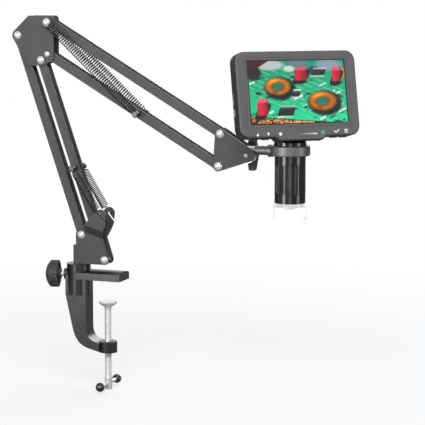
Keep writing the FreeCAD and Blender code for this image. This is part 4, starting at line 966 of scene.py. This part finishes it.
floor_surface.link(seen.outputs[0], amount.inputs[1])
floor_surface.link(amount.outputs[0], mix.inputs["Fac"])
output = floor_surface.tree.nodes["Material Output"]
floor_surface.link(floor_surface.shader.outputs["BSDF"], mix.inputs[1])
floor_surface.link(glow.outputs["Emission"], mix.inputs[2])
floor_surface.link(mix.outputs["Shader"], output.inputs["Surface"])

floor_mesh = bpy.data.meshes.new("floor")
half = FLOOR_SIZE / 2
floor_mesh.from_pydata([(-half, -half, 0), (half, -half, 0), (half, half, 0), (-half, half, 0)], [],
                       [(0, 1, 2, 3)])
floor_mesh.materials.append(floor_surface.material)
floor = bpy.data.objects.new("floor", floor_mesh)
floor.location = (FLOOR_X, 0, FLOOR_Z)
bpy.context.scene.collection.objects.link(floor)


def softbox(name, place, target, width, height, power, matt=True):
    """Add a soft lamp that faces a target, and that lights matt surfaces or only shows as a gloss."""
    data = bpy.data.lights.new(name, "AREA")
    data.shape = "RECTANGLE"
    data.size = width
    data.size_y = height
    data.energy = power
    lamp = bpy.data.objects.new(name, data)
    lamp.location = place
    lamp.rotation_euler = (Vector(target) - Vector(place)).to_track_quat("-Z", "Y").to_euler()
    lamp.visible_camera = False
    lamp.visible_diffuse = matt
    bpy.context.scene.collection.objects.link(lamp)


MIDDLE = (0.05, 0, 0.12)
BARREL = (0.15, 0, 0.24)
softbox("front_light", (0.48, -1.18, 1.05), MIDDLE, 1.1, 0.7, 17)
softbox("left_strip", (-0.42, -1.15, 0.24), BARREL, 0.2, 0.68, 13, matt=False)
softbox("right_strip", (1.45, -0.2, 0.24), BARREL, 0.3, 0.68, 6, matt=False)
softbox("fill_panel", (0.85, -1.95, 0.22), (0.15, 0, 0.2), 0.4, 0.66, 6, matt=False)
softbox("left_light", (-1.35, -0.5, 0.45), MIDDLE, 0.35, 1.0, 3)
softbox("top_light", (0.1, 0.3, 1.7), MIDDLE, 1.0, 0.8, 7)
softbox("back_light", (0.2, 1.9, 0.9), MIDDLE, 1.4, 0.8, 16)
softbox("rim_panel", (-0.4, 1.5, 0.36), MIDDLE, 1.3, 0.4, 1.5, matt=False)

AMBIENT = 0.12
GLOSS = 0.38

world = bpy.data.worlds.new("studio")
world.use_nodes = True
bpy.context.scene.world = world
tree = world.node_tree
tree.nodes.clear()


def background(strength):
    """Return a white background node for the world."""
    node = tree.nodes.new("ShaderNodeBackground")
    node.inputs["Color"].default_value = (1, 1, 1, 1)
    node.inputs["Strength"].default_value = strength
    return node


rays = tree.nodes.new("ShaderNodeLightPath")
seen = tree.nodes.new("ShaderNodeMath")
seen.operation = "MAXIMUM"
ambient = background(AMBIENT)
white = background(1.0)
gloss = background(GLOSS)
mixed = tree.nodes.new("ShaderNodeMixShader")
glossed = tree.nodes.new("ShaderNodeMixShader")
output = tree.nodes.new("ShaderNodeOutputWorld")
tree.links.new(rays.outputs["Is Camera Ray"], seen.inputs[0])
tree.links.new(rays.outputs["Is Transmission Ray"], seen.inputs[1])
tree.links.new(rays.outputs["Is Glossy Ray"], glossed.inputs["Fac"])
tree.links.new(ambient.outputs[0], glossed.inputs[1])
tree.links.new(gloss.outputs[0], glossed.inputs[2])
tree.links.new(seen.outputs[0], mixed.inputs["Fac"])
tree.links.new(glossed.outputs[0], mixed.inputs[1])
tree.links.new(white.outputs[0], mixed.inputs[2])
tree.links.new(mixed.outputs[0], output.inputs["Surface"])
